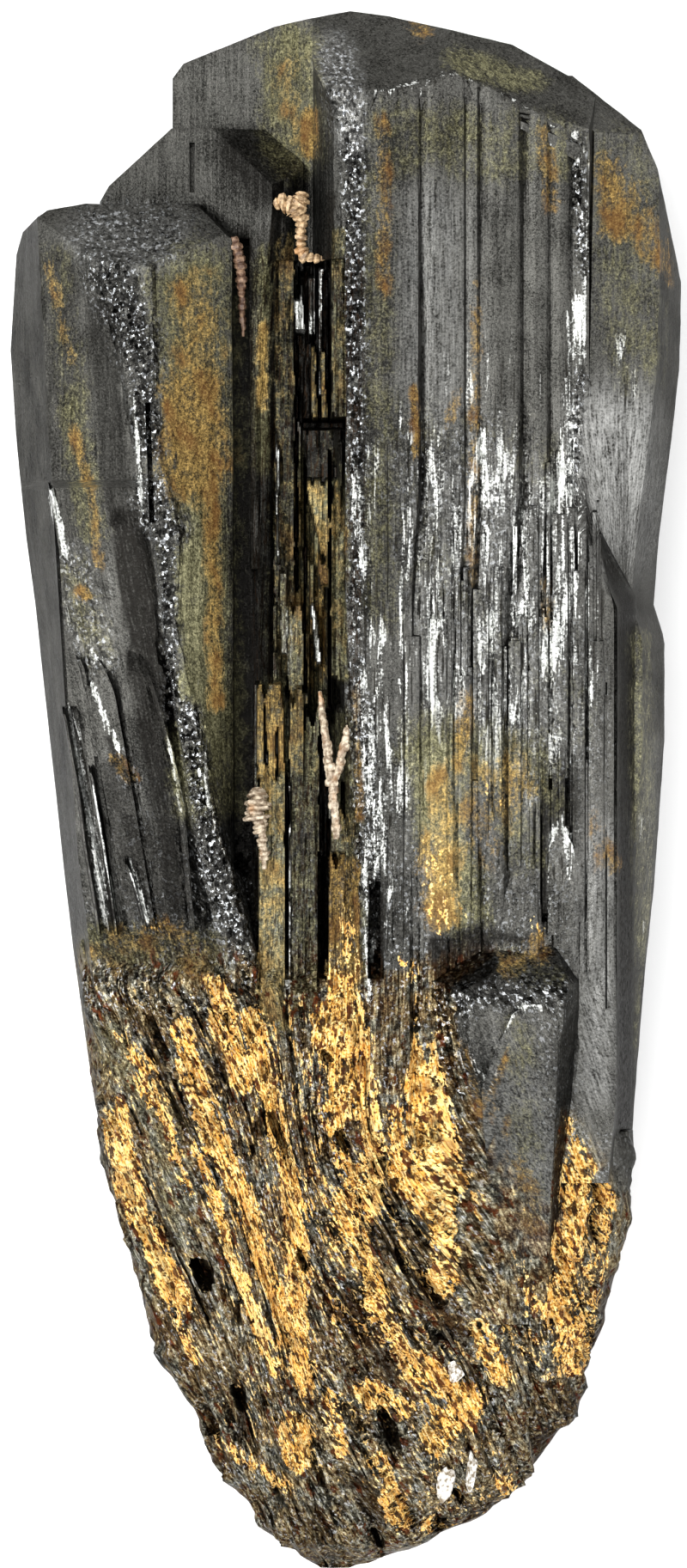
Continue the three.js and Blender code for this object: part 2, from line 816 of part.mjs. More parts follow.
function piece(name, solid, finish) {
  const mesh = new THREE.Mesh(geometryOf(solid), new THREE.MeshStandardMaterial(finish));
  mesh.name = name;
  specimen.add(mesh);
}

const micaNames = Object.keys(MICA_STACKS);
const grainNames = Object.keys(ALBITE_GRAINS);
const seats = joined([
  ...micaNames.map((name) => micaStack(name, SEAT_GAP)),
  ...grainNames.map((name) => albiteGrain(name, SEAT_GAP)),
]);

piece("tantalite_crystals", tantaliteCrystals().subtract(seats).simplify(FINEST), BLACK);
for (const name of micaNames) piece(name, micaStack(name), MICA);
for (const name of grainNames) piece(name, albiteGrain(name), ALBITE);

export default specimen;
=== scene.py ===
# %% [markdown]
# # A tantalite specimen
# Tantalite grows as black, half-metallic prisms that stand side by side. Their flat faces carry
# fine ribs along their length, their ends are cut by a few sloping facets, and the old root
# they broke from is a fan of fibrous blades with a porous orange crust. Pale mica worms and
# white albite grains sit in the clefts. The piece lies on its flat back and is seen from above.

# %% The frame, and the units of this script
import math

import bpy
import numpy as np
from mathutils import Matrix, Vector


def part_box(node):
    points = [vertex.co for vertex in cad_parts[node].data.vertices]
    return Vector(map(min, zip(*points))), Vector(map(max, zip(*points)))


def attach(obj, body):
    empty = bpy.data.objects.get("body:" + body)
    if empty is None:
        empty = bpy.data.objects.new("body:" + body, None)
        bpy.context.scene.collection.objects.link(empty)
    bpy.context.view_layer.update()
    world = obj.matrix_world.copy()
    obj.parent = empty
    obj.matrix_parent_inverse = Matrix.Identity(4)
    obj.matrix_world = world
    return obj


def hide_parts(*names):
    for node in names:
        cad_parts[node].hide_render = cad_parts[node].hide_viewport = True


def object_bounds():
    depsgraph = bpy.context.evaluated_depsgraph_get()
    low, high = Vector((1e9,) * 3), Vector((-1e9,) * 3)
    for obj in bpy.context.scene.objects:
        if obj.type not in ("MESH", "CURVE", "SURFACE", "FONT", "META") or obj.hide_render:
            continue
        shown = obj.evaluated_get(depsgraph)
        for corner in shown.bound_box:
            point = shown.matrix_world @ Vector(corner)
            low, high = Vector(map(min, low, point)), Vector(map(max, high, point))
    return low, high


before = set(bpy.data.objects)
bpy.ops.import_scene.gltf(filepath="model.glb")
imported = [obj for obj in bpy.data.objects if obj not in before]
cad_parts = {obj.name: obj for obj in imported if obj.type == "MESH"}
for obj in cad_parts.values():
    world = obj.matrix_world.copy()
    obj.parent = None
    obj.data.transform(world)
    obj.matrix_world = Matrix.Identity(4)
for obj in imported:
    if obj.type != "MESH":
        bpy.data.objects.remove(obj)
cad_low, cad_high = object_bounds()
MM = 0.001
crystals_low, crystals_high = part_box("tantalite_crystals")
print("frame:", sorted(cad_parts), "size mm", [round(v / MM, 1) for v in cad_high - cad_low])
print("crystal group mm", [round(v / MM, 1) for v in crystals_high - crystals_low])

# %% [markdown]
# ## Camera, floor and light
# A long lens keeps the long crystals parallel, as a specimen looks on a copy stand. A broad soft
# light on the left makes the faces that lean left pale and those that lean right dark, which is
# what tells a crystal's faces apart. A weaker one from the right and a dim sky fill the rest.

# %% Camera over the specimen
LENS = 420.0
SENSOR = 36.0
SEEN_LENGTH = 72.4  # how much of the specimen's plane the picture's height holds, in mm
SEEN_PLANE = 12.0  # height of that plane above the floor, in mm

camera_data = bpy.data.cameras.new("camera")
camera_data.lens = LENS
camera_data.sensor_width = SENSOR
camera_data.sensor_fit = "AUTO"
camera_data.clip_end = 10
camera = bpy.data.objects.new("camera", camera_data)
bpy.context.collection.objects.link(camera)
distance = SEEN_LENGTH * LENS / SENSOR
camera.location = (-0.12 * MM, 0.33 * MM, (SEEN_PLANE + distance) * MM)
bpy.context.scene.camera = camera
print("camera height mm", round(SEEN_PLANE + distance))

# %% Floor and lights
bpy.ops.mesh.primitive_plane_add(size=3, location=(0, 0, cad_low.z))
floor = bpy.context.object
floor.name = "floor"
paper = bpy.data.materials.new("paper")
paper.use_nodes = True
paper.node_tree.nodes["Principled BSDF"].inputs["Base Color"].default_value = (0.95, 0.95, 0.95, 1)
paper.node_tree.nodes["Principled BSDF"].inputs["Roughness"].default_value = 0.9
floor.data.materials.append(paper)


def softbox(name, place, size, power):
    """A square area light aimed at the specimen, placed in metres."""
    data = bpy.data.lights.new(name, "AREA")
    data.shape = "SQUARE"
    data.size = size
    data.energy = power
    light = bpy.data.objects.new(name, data)
    light.location = place
    light.rotation_euler = (-light.location).to_track_quat("-Z", "Y").to_euler()
    light.visible_camera = False
    bpy.context.collection.objects.link(light)


softbox("left_box", (-0.42, 0.1, 0.36), 0.4, 1.9)
softbox("right_box", (0.5, -0.05, 0.3), 0.3, 1.0)
softbox("foot_box", (-0.05, -0.5, 0.42), 0.3, 1.6)
softbox("top_box", (-0.1, 0.1, 0.6), 0.22, 1.5)
softbox("left_lamp", (-0.22, -0.12, 0.5), 0.05, 0.45)
softbox("right_lamp", (0.26, 0.02, 0.42), 0.05, 0.3)
world = bpy.data.worlds.new("studio")
world.use_nodes = True
world.node_tree.nodes["Background"].inputs["Color"].default_value = (1, 1, 1, 1)
world.node_tree.nodes["Background"].inputs["Strength"].default_value = 1.0
bpy.context.scene.world = world
bpy.context.scene.view_settings.view_transform = "Standard"

# %% [markdown]
# ## Tools for growing crystals
# Every crystal is a loft: rings of points, one ring for each height, skinned into a closed mesh.
# The long edges of a crystal are drawn as a few points, and the faces between them are
# divided finely, so that ribs, steps and pits can be real relief. Working numbers are in mm.


# %% Repeatable noise
def chance(*whole, seed=0):
    """A fixed number from 0 to 1 for each set of whole numbers."""
    total = np.full(np.shape(whole[0]), seed * 7919 + 101, dtype=np.int64)
    for part, prime in zip(whole, (374761393, 668265263, 1274126177)):
        total = total + np.asarray(part).astype(np.int64) * prime
    total = total & 0xFFFFFFFF
    total = (total ^ (total >> 13)) * 1103515245 & 0xFFFFFFFF
    total = (total ^ (total >> 15)) * 1597334677 & 0xFFFFFFFF
    return ((total ^ (total >> 16)) & 0xFFFFF) / 0xFFFFF


def draw(number, k, seed):
    """The k-th fixed number from 0 to 1 of a numbered thing."""
    return float(chance(np.array(number), np.array(k), seed=seed))


def noise(points, size, seed=0, octaves=1):
    """Smooth noise from -1 to 1 with grains of the given size in mm, or a size for each axis."""
    result = np.zeros(points.shape[:-1])
    weight, total = 1.0, 0.0
    scaled = points / np.asarray(size, dtype=float)
    for octave in range(octaves):
        cell = np.floor(scaled).astype(np.int64)
        part = scaled - cell
        part = part * part * (3 - 2 * part)
        value = 0
        for corner in range(8):
            bits = [(corner >> axis) & 1 for axis in range(3)]
            share = 1
            for axis, bit in enumerate(bits):
                share = share * (part[..., axis] if bit else 1 - part[..., axis])
            whole = [cell[..., axis] + bit for axis, bit in enumerate(bits)]
            value = value + share * chance(*whole, seed=seed + 31 * octave)
        result += weight * (value * 2 - 1)
        total += weight
        weight *= 0.5
        scaled = scaled * 2.03
    return result / total


def cells(points, size, seed=0):
    """Distance to the nearest of many scattered points, in grain sizes, and that point's number."""
    scaled = points / np.asarray(size, dtype=float)
    cell = np.floor(scaled).astype(np.int64)
    nearest = np.full(points.shape[:-1], 9.0)
    number = np.zeros(points.shape[:-1])
    for shift in np.ndindex(3, 3, 3):
        whole = [cell[..., axis] + shift[axis] - 1 for axis in range(3)]
        apart = 0
        for axis in range(3):
            place = whole[axis] + chance(*whole, seed=seed + axis)
            apart = apart + (place - scaled[..., axis]) ** 2
        closer = apart < nearest
        nearest = np.where(closer, apart, nearest)
        number = np.where(closer, chance(*whole, seed=seed + 9), number)
    return np.sqrt(nearest), number


def smooth(value, low, high):
    """0 below low, 1 above high, and a soft curve between."""
    share = np.clip((value - low) / (high - low), 0, 1)
    return share * share * (3 - 2 * share)


# %% Rings to a mesh
def mesh_of(name, points, faces):
    """A mesh object, in mm, from points and faces."""
    mesh = bpy.data.meshes.new(name)
    mesh.from_pydata(np.asarray(points).reshape(-1, 3).tolist(), [], faces)
    mesh.validate()
    obj = bpy.data.objects.new(name, mesh)
    bpy.context.collection.objects.link(obj)
    return obj


def skin(name, rings):
    """A closed mesh over rings[row, column, xyz] that run clockwise as seen from the root."""
    rows, columns = rings.shape[:2]
    at = np.arange(rows * columns).reshape(rows, columns)
    beside = np.roll(at, -1, axis=1)
    quads = np.stack([at[:-1], beside[:-1], beside[1:], at[1:]], axis=-1).reshape(-1, 4)
    low, high = rows * columns, rows * columns + 1
    foot = [(low, b, a) for a, b in zip(at[0].tolist(), beside[0].tolist())]
    head = [(high, a, b) for a, b in zip(at[-1].tolist(), beside[-1].tolist())]
    middles = np.stack([rings[0].mean(axis=0), rings[-1].mean(axis=0)])
    points = np.concatenate([rings.reshape(-1, 3), middles])
    return mesh_of(name, points, quads.tolist() + foot + head)


def line(edge, heights):
    """x and z of a long edge, a list of (x, y, z) from the root up, at each height."""
    x, y, z = np.array(edge, dtype=float).T
    return np.stack([np.interp(heights, y, x), np.interp(heights, y, z)], axis=-1)


def upright(x, z, foot=-18.0, head=38.0):
    """A straight edge that stands upright."""
    return [(x, foot, z), (x, head, z)]


def aside(edge, shift):
    """The same edge, a little to the side and further back."""
    return [(x + shift, y, z - abs(shift)) for x, y, z in edge]


# %% A crystal from its long edges
def crystal(name, edges, columns, spacing, relief=None):
    """A loft through long edges, clockwise as seen from the root.

    columns says how many columns the face after each edge has, spacing how far apart rows are.
    relief(face, across, points) gives how far each point stands out of its face, in mm.
    """
    foot = max(edge[0][1] for edge in edges)
    head = min(edge[-1][1] for edge in edges)
    heights = np.linspace(foot, head, max(2, int(round((head - foot) / spacing)) + 1))
    corners = np.stack([line(edge, heights) for edge in edges], axis=1)
    after = np.roll(corners, -1, axis=1)
    strips, outward, face_of, across = [], [], [], []
    for face, count in enumerate(columns):
        start, end = corners[:, face], after[:, face]
        side = end - start
        width = np.maximum(np.linalg.norm(side, axis=-1), 1e-6)
        normal = np.stack([-side[:, 1], side[:, 0]], axis=-1) / width[:, None]
        for column in range(count):
            share = column / count
            strips.append(start + side * share)
            outward.append(normal)
            face_of.append(np.full(len(heights), face))
            across.append(width * share)
    flat = np.stack(strips, axis=1)
    y = np.repeat(heights[:, None], flat.shape[1], 1)
    points = np.stack([flat[..., 0], y, flat[..., 1]], axis=-1)
    if relief is not None:
        out = np.stack(outward, axis=1)
        height = relief(np.stack(face_of, axis=1), np.stack(across, axis=1), points)
        height[0] = 0
        height[-1] = 0
        points[..., 0] += out[..., 0] * height
        points[..., 2] += out[..., 1] * height
    return skin(name, points)


# %% [markdown]
# ## Facets
# A crystal's end is cut by flat planes. Each cutter here is a thick slab whose under side is a
# fine grid on that plane, so the cut face comes out with enough points to carry its own slight
# roughness, and later its own stain.


# %% Cutting and joining
FACET_GRAIN = 0.6  # size of the slight unevenness of a facet, in mm


def facet(through, facing, size=26.0, step=0.5, roughness=0.0, seed=1):
    """A slab that removes what lies beyond a plane."""
    normal = np.array(facing, dtype=float)
    normal /= np.linalg.norm(normal)
    side = np.cross(normal, (0.03, 0.05, 1.0) if abs(normal[2]) < 0.8 else (0.05, 1.0, 0.02))
    side /= np.linalg.norm(side)
    up = np.cross(normal, side)
    count = int(size / step) + 1
    place = np.linspace(-size / 2, size / 2, count)
    a, b = np.meshgrid(place, place, indexing="ij")
    grid = np.array(through) + a[..., None] * side + b[..., None] * up
    if roughness:
        grid = grid + normal * (roughness * noise(grid, FACET_GRAIN, seed, 2))[..., None]
    back = np.array(through) + normal * size + a[..., None] * side + b[..., None] * up
    at = np.arange(count * count).reshape(count, count)
    under = np.stack([at[:-1, :-1], at[:-1, 1:], at[1:, 1:], at[1:, :-1]], -1).reshape(-1, 4)
    over = under[:, ::-1] + count * count
    rim = np.concatenate([at[:-1, 0], at[-1, :-1], at[1:, -1][::-1], at[0, 1:][::-1]])
    beside = np.roll(rim, -1)
    walls = np.stack([rim, beside, beside + count * count, rim + count * count], -1)
    faces = np.concatenate([under, over, walls]).tolist()
    return mesh_of("facet", np.concatenate([grid.reshape(-1, 3), back.reshape(-1, 3)]), faces)


def worked(body, tools, operation):
    """The body with the tools joined to it or cut from it. The tools are used up."""
    for tool in tools:
        step = body.modifiers.new("work", "BOOLEAN")
        step.operation = operation
        step.solver = "MANIFOLD"
        step.object = tool
    bpy.context.view_layer.update()
    graph = bpy.context.evaluated_depsgraph_get()
    result = bpy.data.meshes.new_from_object(body.evaluated_get(graph))
    body.modifiers.clear()
    old = body.data
    body.data = result
    bpy.data.meshes.remove(old)
    for tool in tools:
        data = tool.data
        bpy.data.objects.remove(tool)
        bpy.data.meshes.remove(data)
    return body


def cut(body, *planes, **options):
    """The body cut by planes, each (through, facing) or (through, facing, roughness)."""
    slabs = []
    for number, plane in enumerate(planes):
        roughness = plane[2] if len(plane) > 2 else 0.01
        slabs.append(facet(plane[0], plane[1], roughness=roughness, seed=number, **options))
    return worked(body, slabs, "DIFFERENCE")


# %% Relief that faces share
def steps(across, points, width, seed, length=9.0):
    """Lamellae side by side: level -1 to 1 for each, which changes along its length."""
    drift = 0.35 * noise(points * (0, 1, 0) + (seed * 3.7, 0, 0), 6.0, seed)
    rib = np.floor(across / width + drift)
    piece = np.floor(points[..., 1] / length + 3 * chance(rib, rib * 0 + 5, seed=seed))
    return chance(rib, piece, seed=seed + 3) * 2 - 1


def rough_band(points, seed=0):
    """Small sharp crystals, about a third of a mm across."""
    near, number = cells(points, 0.42, seed)
    return 0.16 * (0.7 - near) + 0.1 * (number - 0.5)


print("tools ready")

# %% [markdown]
# ## The main crystal
# The tallest prism. Its front meets in a keel, a narrow band of tiny crystals that glitters, partly
# with painted glints, and to the right of the keel a plate of parallel growth lies on it. The end
# is a set of smooth facets that look up and away from the viewer, so they stay dark, and some
# shade is painted on them as well.

# %% Main crystal
KEEL = 19.6  # height of the keel
PLATE_FALL = 0.24  # how much the front falls away for each mm to the right
PLATE_RAISE = 0.55  # how far the plate stands out


def front_height(x):
    """Height of the main crystal's front beneath its plate."""
    return KEEL - PLATE_RAISE - PLATE_FALL * np.maximum(0, np.asarray(x) - 1)


KEEL_LEFT = [
    (0.95, -18, 16),
    (0.9, -10, 18.6),
    (0.72, -2.7, 19.2),
    (0.34, 3.4, 19.4),
    (0, 8, 19.4),
    (-0.15, 20, 19.4),
    (-0.2, 31.2, 19.3),
    (-1.2, 33.4, 19.2),
    (-1.3, 38, 19.1),
]
KEEL_RIGHT = [(x + (1.2 if y > 33 else 0.75), y, z + 0.25) for x, y, z in KEEL_LEFT]
SHOULDER = [
    (12, -18),
    (12.4, -14),
    (12.5, 8.4),
    (10.35, 13.5),
    (10.7, 19),
    (11.15, 28.6),
    (11.3, 38),
]


def main_relief(face, across, points):
    """Ribs, the rough keel, and a smooth patch high on the right."""
    ribs = 0.035 * steps(across, points, 0.62, 4, 14) + 0.02 * noise(points, (0.3, 5, 0.3), 8)
    keel = rough_band(points, 3) + 0.12 * noise(points, (0.8, 1.4, 0.8), 5)
    result = np.where(face == 3, keel, ribs)
    result = np.where(face == 2, 0.5 * keel, result)
    right = (face == 4) & (points[..., 1] > 26)
    return np.where(right, 0.02 * noise(points, 1.1, 6, 2), result)


shoulder = [(x, y, float(front_height(x))) for x, y in SHOULDER]
main = crystal(
    "main_crystal",
    [
        upright(-8.05, 10.4),
        upright(-1.55, 15.3),
        aside(KEEL_LEFT, -0.35),
        KEEL_LEFT,
        KEEL_RIGHT,
        shoulder,
        [(x + 0.5, y, 12) for x, y, _ in shoulder],
        upright(10.6, 0.5),
        upright(9.9, 0),
        upright(4.4, 0),
        upright(4, 0.45),
        upright(1.6, 0.4),
        upright(1.3, 0),
        upright(-6.4, 0),
    ],
    [22, 14, 3, 8, 26, 6, 6, 1, 2, 1, 2, 1, 3, 8],
    0.4,
    main_relief,
)
main = cut(
    main,
    ((-7.9, 33.5, 15), (-0.35, 0.94, 0), 0.015),
    ((-7.7, 33.4, 15), (-0.8, 0.6, 0), 0.015),
    ((0, 35.95, 12), (0.14, 0.99, 0), 0.02),
    ((5.6, 35.05, 12), (0.3, 0.95, 0), 0.02),
    ((9.6, 33.6, 12), (0.66, 0.75, 0), 0.02),
    ((3.1, 35.42, 12), (0.22, 0.97, 0), 0.02),
    ((7.9, 34.25, 12), (0.48, 0.87, 0), 0.02),
    ((-1.9, 35.5, 12), (-0.2, 0.98, 0), 0.02),
    ((4.6, 32.6, KEEL - 1.4), (0.08, 0.8, 0.6), 0.03),
    ((8.4, 31.2, KEEL - 2.2), (0.38, 0.72, 0.58), 0.03),
    ((-0.6, 35.2, KEEL - 0.4), (-0.1, 0.75, 0.66), 0.05),
    ((1, 33.6, 0), (0.06, 0.72, -0.7)),
    ((-4, 31.4, 0), (-0.3, 0.6, -0.74)),
    ((2, -12.5, 0), (-0.05, -0.45, -0.89)),
)
print("main crystal triangles", len(main.data.polygons))

# %% [markdown]
# ## The ribbed plate
# Parallel growth made a plate of long flutes. Each line below is a groove or the edge of a flute:
# where its top end is, where its foot is, and how deep it lies. Halfway down, the plate widens,
# and its lower half is a stack of lamellae with broken ends, which shine where they step.

# %% Plate
PLATE_FOOT = -15.6
PLATE_WIDENS = (8.4, 13.5)  # the y between which it grows wider on its way down
PLATE_LINES = [
    (1, 30.9, 1.1, 0.35),
    (1.5, 32, 1.6, 0),
    (3.3, 32.4, 2.9, 0),
    (3.45, 32.3, 3.1, 0.32),
    (3.7, 32.5, 3.4, 0.05),
    (4.8, 32.9, 4.5, 0.05),
    (5.4, 32.7, 5.1, 0.12),
    (5.5, 32.6, 5.3, 0.4),
    (6, 32.5, 5.7, 0.14),
    (6.15, 32.3, 5.9, 0.36),
    (6.5, 32.3, 6.3, 0.02),
    (7.9, 31.5, 7.2, 0),
    (8.15, 31.2, 7.5, 0.42),
    (8.5, 31.3, 7.9, 0.1),
    (9.2, 30.9, 8.9, 0.06),
    (9.4, 30.7, 9.2, 0.38),
    (9.8, 30.6, 9.7, 0.06),
    (10.1, 30.3, 10.5, 0.1),
    (10.4, 30, 10.9, 0.45),
    (10.8, 29.6, 11.6, 0.05),
    (11.15, 28.6, 12.3, 0.1),
]


def plate_spread(y):
    """How far the lines have moved from their top x to the x of their foot."""
    return np.interp(y, PLATE_WIDENS, [1, 0])


def plate_bulge(y):
    """How far the plate's front stands out at each height."""
    return np.interp(y, [PLATE_FOOT, -12, -2, 6, 14, 33], [-1.2, -0.5, 0, 0.25, 0.1, 0])


def plate_height(x, y):
    """Height of the plate's front, apart from its ribs."""
    return front_height(x) + PLATE_RAISE + plate_bulge(y)


def front_plate():
    """The plate: columns between its lines, rows along them, and a plain back."""
    lines = np.array(PLATE_LINES)
    share = np.linspace(0, 1, 122)[:, None]
    places = [0.0]
    for gap in np.diff(lines[:, 0]):
        count = max(2, int(round(gap / 0.13)))
        places.extend(places[-1] + np.arange(1, count + 1) / count)
    column = np.array(places)
    order = np.arange(len(lines))
    top_x, top_y, foot_x, deep = (np.interp(column, order, lines[:, k]) for k in range(4))
    y = PLATE_FOOT + (top_y - PLATE_FOOT) * share
    x = top_x + (foot_x - top_x) * plate_spread(y)
    within = column - np.floor(column)
    gaps = np.append(np.diff(lines[:, 0]), 0.4)[np.floor(column).astype(int)]
    flute = np.sin(within * math.pi) ** 0.6 * 0.1 * smooth(gaps, 0.4, 0.9)
    points = np.stack([x, y, np.zeros_like(x)], axis=-1)
    low = smooth(-y, -19, -8)
    drawn = column * 0.55 + 0 * y  # a coordinate across the flutes
    fine = 0.06 * low * steps(drawn, points, 0.11, 12, 5)
    fine = fine + 0.015 * steps(drawn, points, 0.16, 15, 9)
    fine = fine + 0.06 * low * steps(drawn, points, 0.5, 18, 7)
    depth = deep * (0.75 + 0.35 * noise(points, (0.8, 7, 1), 21))
    z = plate_height(x, y) - depth + flute + fine + 0.012 * noise(points, 0.35, 23)
    front = np.stack([x, y, z], axis=-1)
    back_x = np.linspace(1, 0, 9)[None, :] * (x[:, -1:] - x[:, :1]) + x[:, :1]
    back_y = np.linspace(1, 0, 9)[None, :] * (y[:, -1:] - y[:, :1]) + y[:, :1]
    back = np.stack([back_x, back_y, front_height(back_x) - 1.4], axis=-1)
    return skin("front_plate", np.concatenate([front, back], axis=1))


plate = front_plate()
print("plate triangles", 2 * len(plate.data.polygons))

# %% [markdown]
# ## The crystals beside it
# To the right a broad smooth prism, to the left a shorter one whose front edge is a band of
# glittering small crystals, and behind that one a second prism with a dark facet on its end, its
# dark painted as shade.
# All are lofts like the first, and all have grown together with it.

# %% Right crystal
RIGHT_FLANK = [
    (-18, 13.1),
    (-9, 13.8),
    (-4, 14.3),
    (2.3, 14.75),
    (7, 14.75),
    (8.6, 14.25),
    (11.8, 14.5),
    (16.5, 15.1),
    (19.7, 15.45),
    (24, 15.55),
    (33, 15.45),
]


def right_edge(inset, z):
    """The flank's outline moved in by inset, at height z."""
    return [(x - inset, y, z + 0.12 * min(0, y + 4)) for y, x in RIGHT_FLANK]


def right_relief(face, across, points):
    """Fine unevenness, and veins low on the front."""
    veined = 0.05 * noise(points + 0.3 * points[..., ::-1], (1.6, 0.5, 1.6), 31, 2)
    veined = veined * smooth(-points[..., 1], -19, -13)
    return 0.03 * noise(points, 0.9, 32, 2) + np.where(face == 1, veined, 0)


right = crystal(
    "right_crystal",
    [
        upright(9, 13, -18, 34),
        [(11.2, -18, 12.6), (11.3, -8, 14.6), (11.1, 14, 15.0), (11.5, 34, 15.5)],
        right_edge(1.1, 13.6),
        right_edge(0, 9.4),
        right_edge(1.6, 2.6),
        upright(7, 1.2, -18, 34),
    ],
    [5, 12, 9, 9, 8, 3],
    0.45,
    right_relief,
)
right = cut(
    right,
    ((12.7, 31.2, 12), (0.62, 0.78, 0), 0.03),
    ((14.2, 29.4, 11), (0.97, 0.22, 0), 0.03),
    ((15.25, 26.6, 11), (0.92, 0.39, 0), 0.03),
    ((12.2, 30.9, 14.2), (0.4, 0.7, 0.6), 0.04),
    ((12, 30, 2), (0.3, 0.7, -0.65)),
)

# %% Left crystal
LEFT_FLANK = [
    (-18, 10.9),
    (-14.4, 11.65),
    (-7.3, 12.65),
    (0.7, 13.55),
    (8.6, 14.4),
    (12, 14.85),
    (16.5, 15.3),
    (20.4, 15.55),
    (24.5, 15.3),
    (29, 15),
]
FRONT_LEFT = [
    (-10.4, -18, 13),
    (-12.3, -3.3, 15.4),
    (-13.4, 12, 15.6),
    (-14.2, 26, 15.4),
    (-14.2, 29, 15.3),
]
RIDGE_LEFT = [
    (-4.5, -18, 15),
    (-5.6, -8, 17.4),
    (-7.1, -1.7, 18),
    (-8.5, 7.8, 18.3),
    (-9, 11.8, 18.4),
    (-10.2, 19.7, 18.4),
    (-11.4, 24, 18.1),
    (-11.6, 29, 17.9),
]
RIDGE_RIGHT = [
    (-3.6, -18, 15),
    (-4.2, -8, 17.5),
    (-6.1, -1.7, 18.3),
    (-7.8, 7.8, 18.4),
    (-7.7, 11.8, 18.5),
    (-8.7, 16, 18.5),
    (-9, 24, 18.4),
    (-8.6, 29, 18.3),
]


def left_relief(face, across, points):
    """Lamellae with a patch of pebbles in front, and a band of small crystals on the ridge."""
    x, y = points[..., 0], points[..., 1]
    side = 0.02 * noise(points, (0.6, 4, 0.6), 41, 2)
    front = 0.05 * steps(across, points, 0.45, 42, 11) * smooth(-y, -22, -10)
    front = front + 0.04 * noise(points, (0.5, 2.5, 0.5), 43, 2)
    pebbles = smooth(x, -13.6, -12.6) * (1 - smooth(x, -11.2, -10.4))
    pebbles = pebbles * smooth(y, 5.6, 6.8) * (1 - smooth(y, 9.8, 11))
    front = front + pebbles * (0.12 + rough_band(points, 44))
    stained = 0.03 * noise(points, (0.25, 5, 0.25), 45) + 0.02 * noise(points, 0.5, 46)
    band = rough_band(points, 47) + 0.14 * noise(points, (0.9, 1.3, 0.9), 48)
    return np.select([face == 0, face == 1, face <= 4, face == 5], [side, front, band, stained])


left_edge = [(-x, y, 9.6 + 0.1 * min(0, y + 8)) for y, x in LEFT_FLANK]
left = crystal(
    "left_crystal",
    [
        left_edge,
        FRONT_LEFT,
        aside(RIDGE_LEFT, -0.3),
        RIDGE_LEFT,
        RIDGE_RIGHT,
        aside(RIDGE_RIGHT, 0.25),
        [(-3.2, -18, 14), (-3.9, -8, 16.4), (-5.2, -2, 16.2), (-5.2, 29, 16.2)],
        upright(-5.2, 5, -18, 29),
        upright(-11.2, 2.6, -18, 29),
    ],
    [16, 26, 3, 12, 3, 20, 10, 6, 6],
    0.36,
    left_relief,
)
left = cut(
    left,
    ((-9, 27.1, 12), (0, 1, 0.02), 0.02),
    ((-9.5, 25.6, 16.4), (0, 0.8, 0.6), 0.12),
    ((-5.9, 26.1, 15), (0.64, 0.76, 0.12), 0.03),
    ((-11.5, 27.15, 13), (-0.18, 0.98, 0), 0.02),
    ((-14.2, 26.4, 12), (-0.6, 0.8, 0), 0.02),
    ((-15.1, 25.4, 12), (-0.95, 0.3, 0), 0.02),
    ((-9, 25.4, 3), (-0.1, 0.7, -0.7)),
    step=0.3,
)

# %% Second crystal, behind the left one
SECOND = 16.8  # height of its front edge
SECOND_FRONT = [
    (-4.3, -14, 15.4),
    (-4.3, 2, 16.4),
    (-4.2, 18, SECOND),
    (-3.4, 27, SECOND),
    (-3.3, 33, SECOND),
]
SECOND_RIGHT = [(-2.7, -14, 14), (-2.6, 18, 15.4), (-2, 27.8, 15.5), (-1.9, 33, 15.5)]


def second_relief(face, across, points):
    """Narrow ribs on the front face, and slight unevenness elsewhere."""
    ribs = 0.05 * steps(across, points, 0.3, 51, 6) + 0.03 * noise(points, (0.3, 3, 0.3), 52)
    return np.where(face == 2, ribs, 0.03 * noise(points, (0.7, 4, 0.7), 53, 2))


second = crystal(
    "second_crystal",
    [
        upright(-11.4, 9.6, -14, 33),
        upright(-7.7, 13, -14, 33),
        SECOND_FRONT,
        SECOND_RIGHT,
        upright(-2, 8, -14, 33),
        upright(-10, 4, -14, 33),
    ],
    [9, 12, 10, 4, 4, 4],
    0.45,
    second_relief,
)
second = cut(
    second,
    ((-5, 30.5, 10), (0.02, 1, 0), 0.02),
    ((-8.6, 30.1, 10), (-0.66, 0.75, 0), 0.02),
    ((-11.1, 27.8, 10), (-0.85, 0.5, 0), 0.02),
    ((-8, 29.2, 5), (-0.2, 0.75, -0.6)),
    ((-3.3, 27.8, SECOND), (0.18, 0.76, 0.62), 0.02),
)
for prism in (main, right, left, second):
    print(prism.name, "faces", len(prism.data.polygons))

# %% [markdown]
# ## Clefts and the blades that stand in them
# Between the prisms run deep clefts, so narrow that they are black, and their deep places are
# painted with shade as well. Thin blades of tantalite stand in them side by side, each with a
# chisel end. A blade here is a long wedge; it is divided along its length so that it can waver
# and carry its own fine ribs.


# %% Blades
BLADE_STEP = 0.7  # distance between a blade's rings, in mm


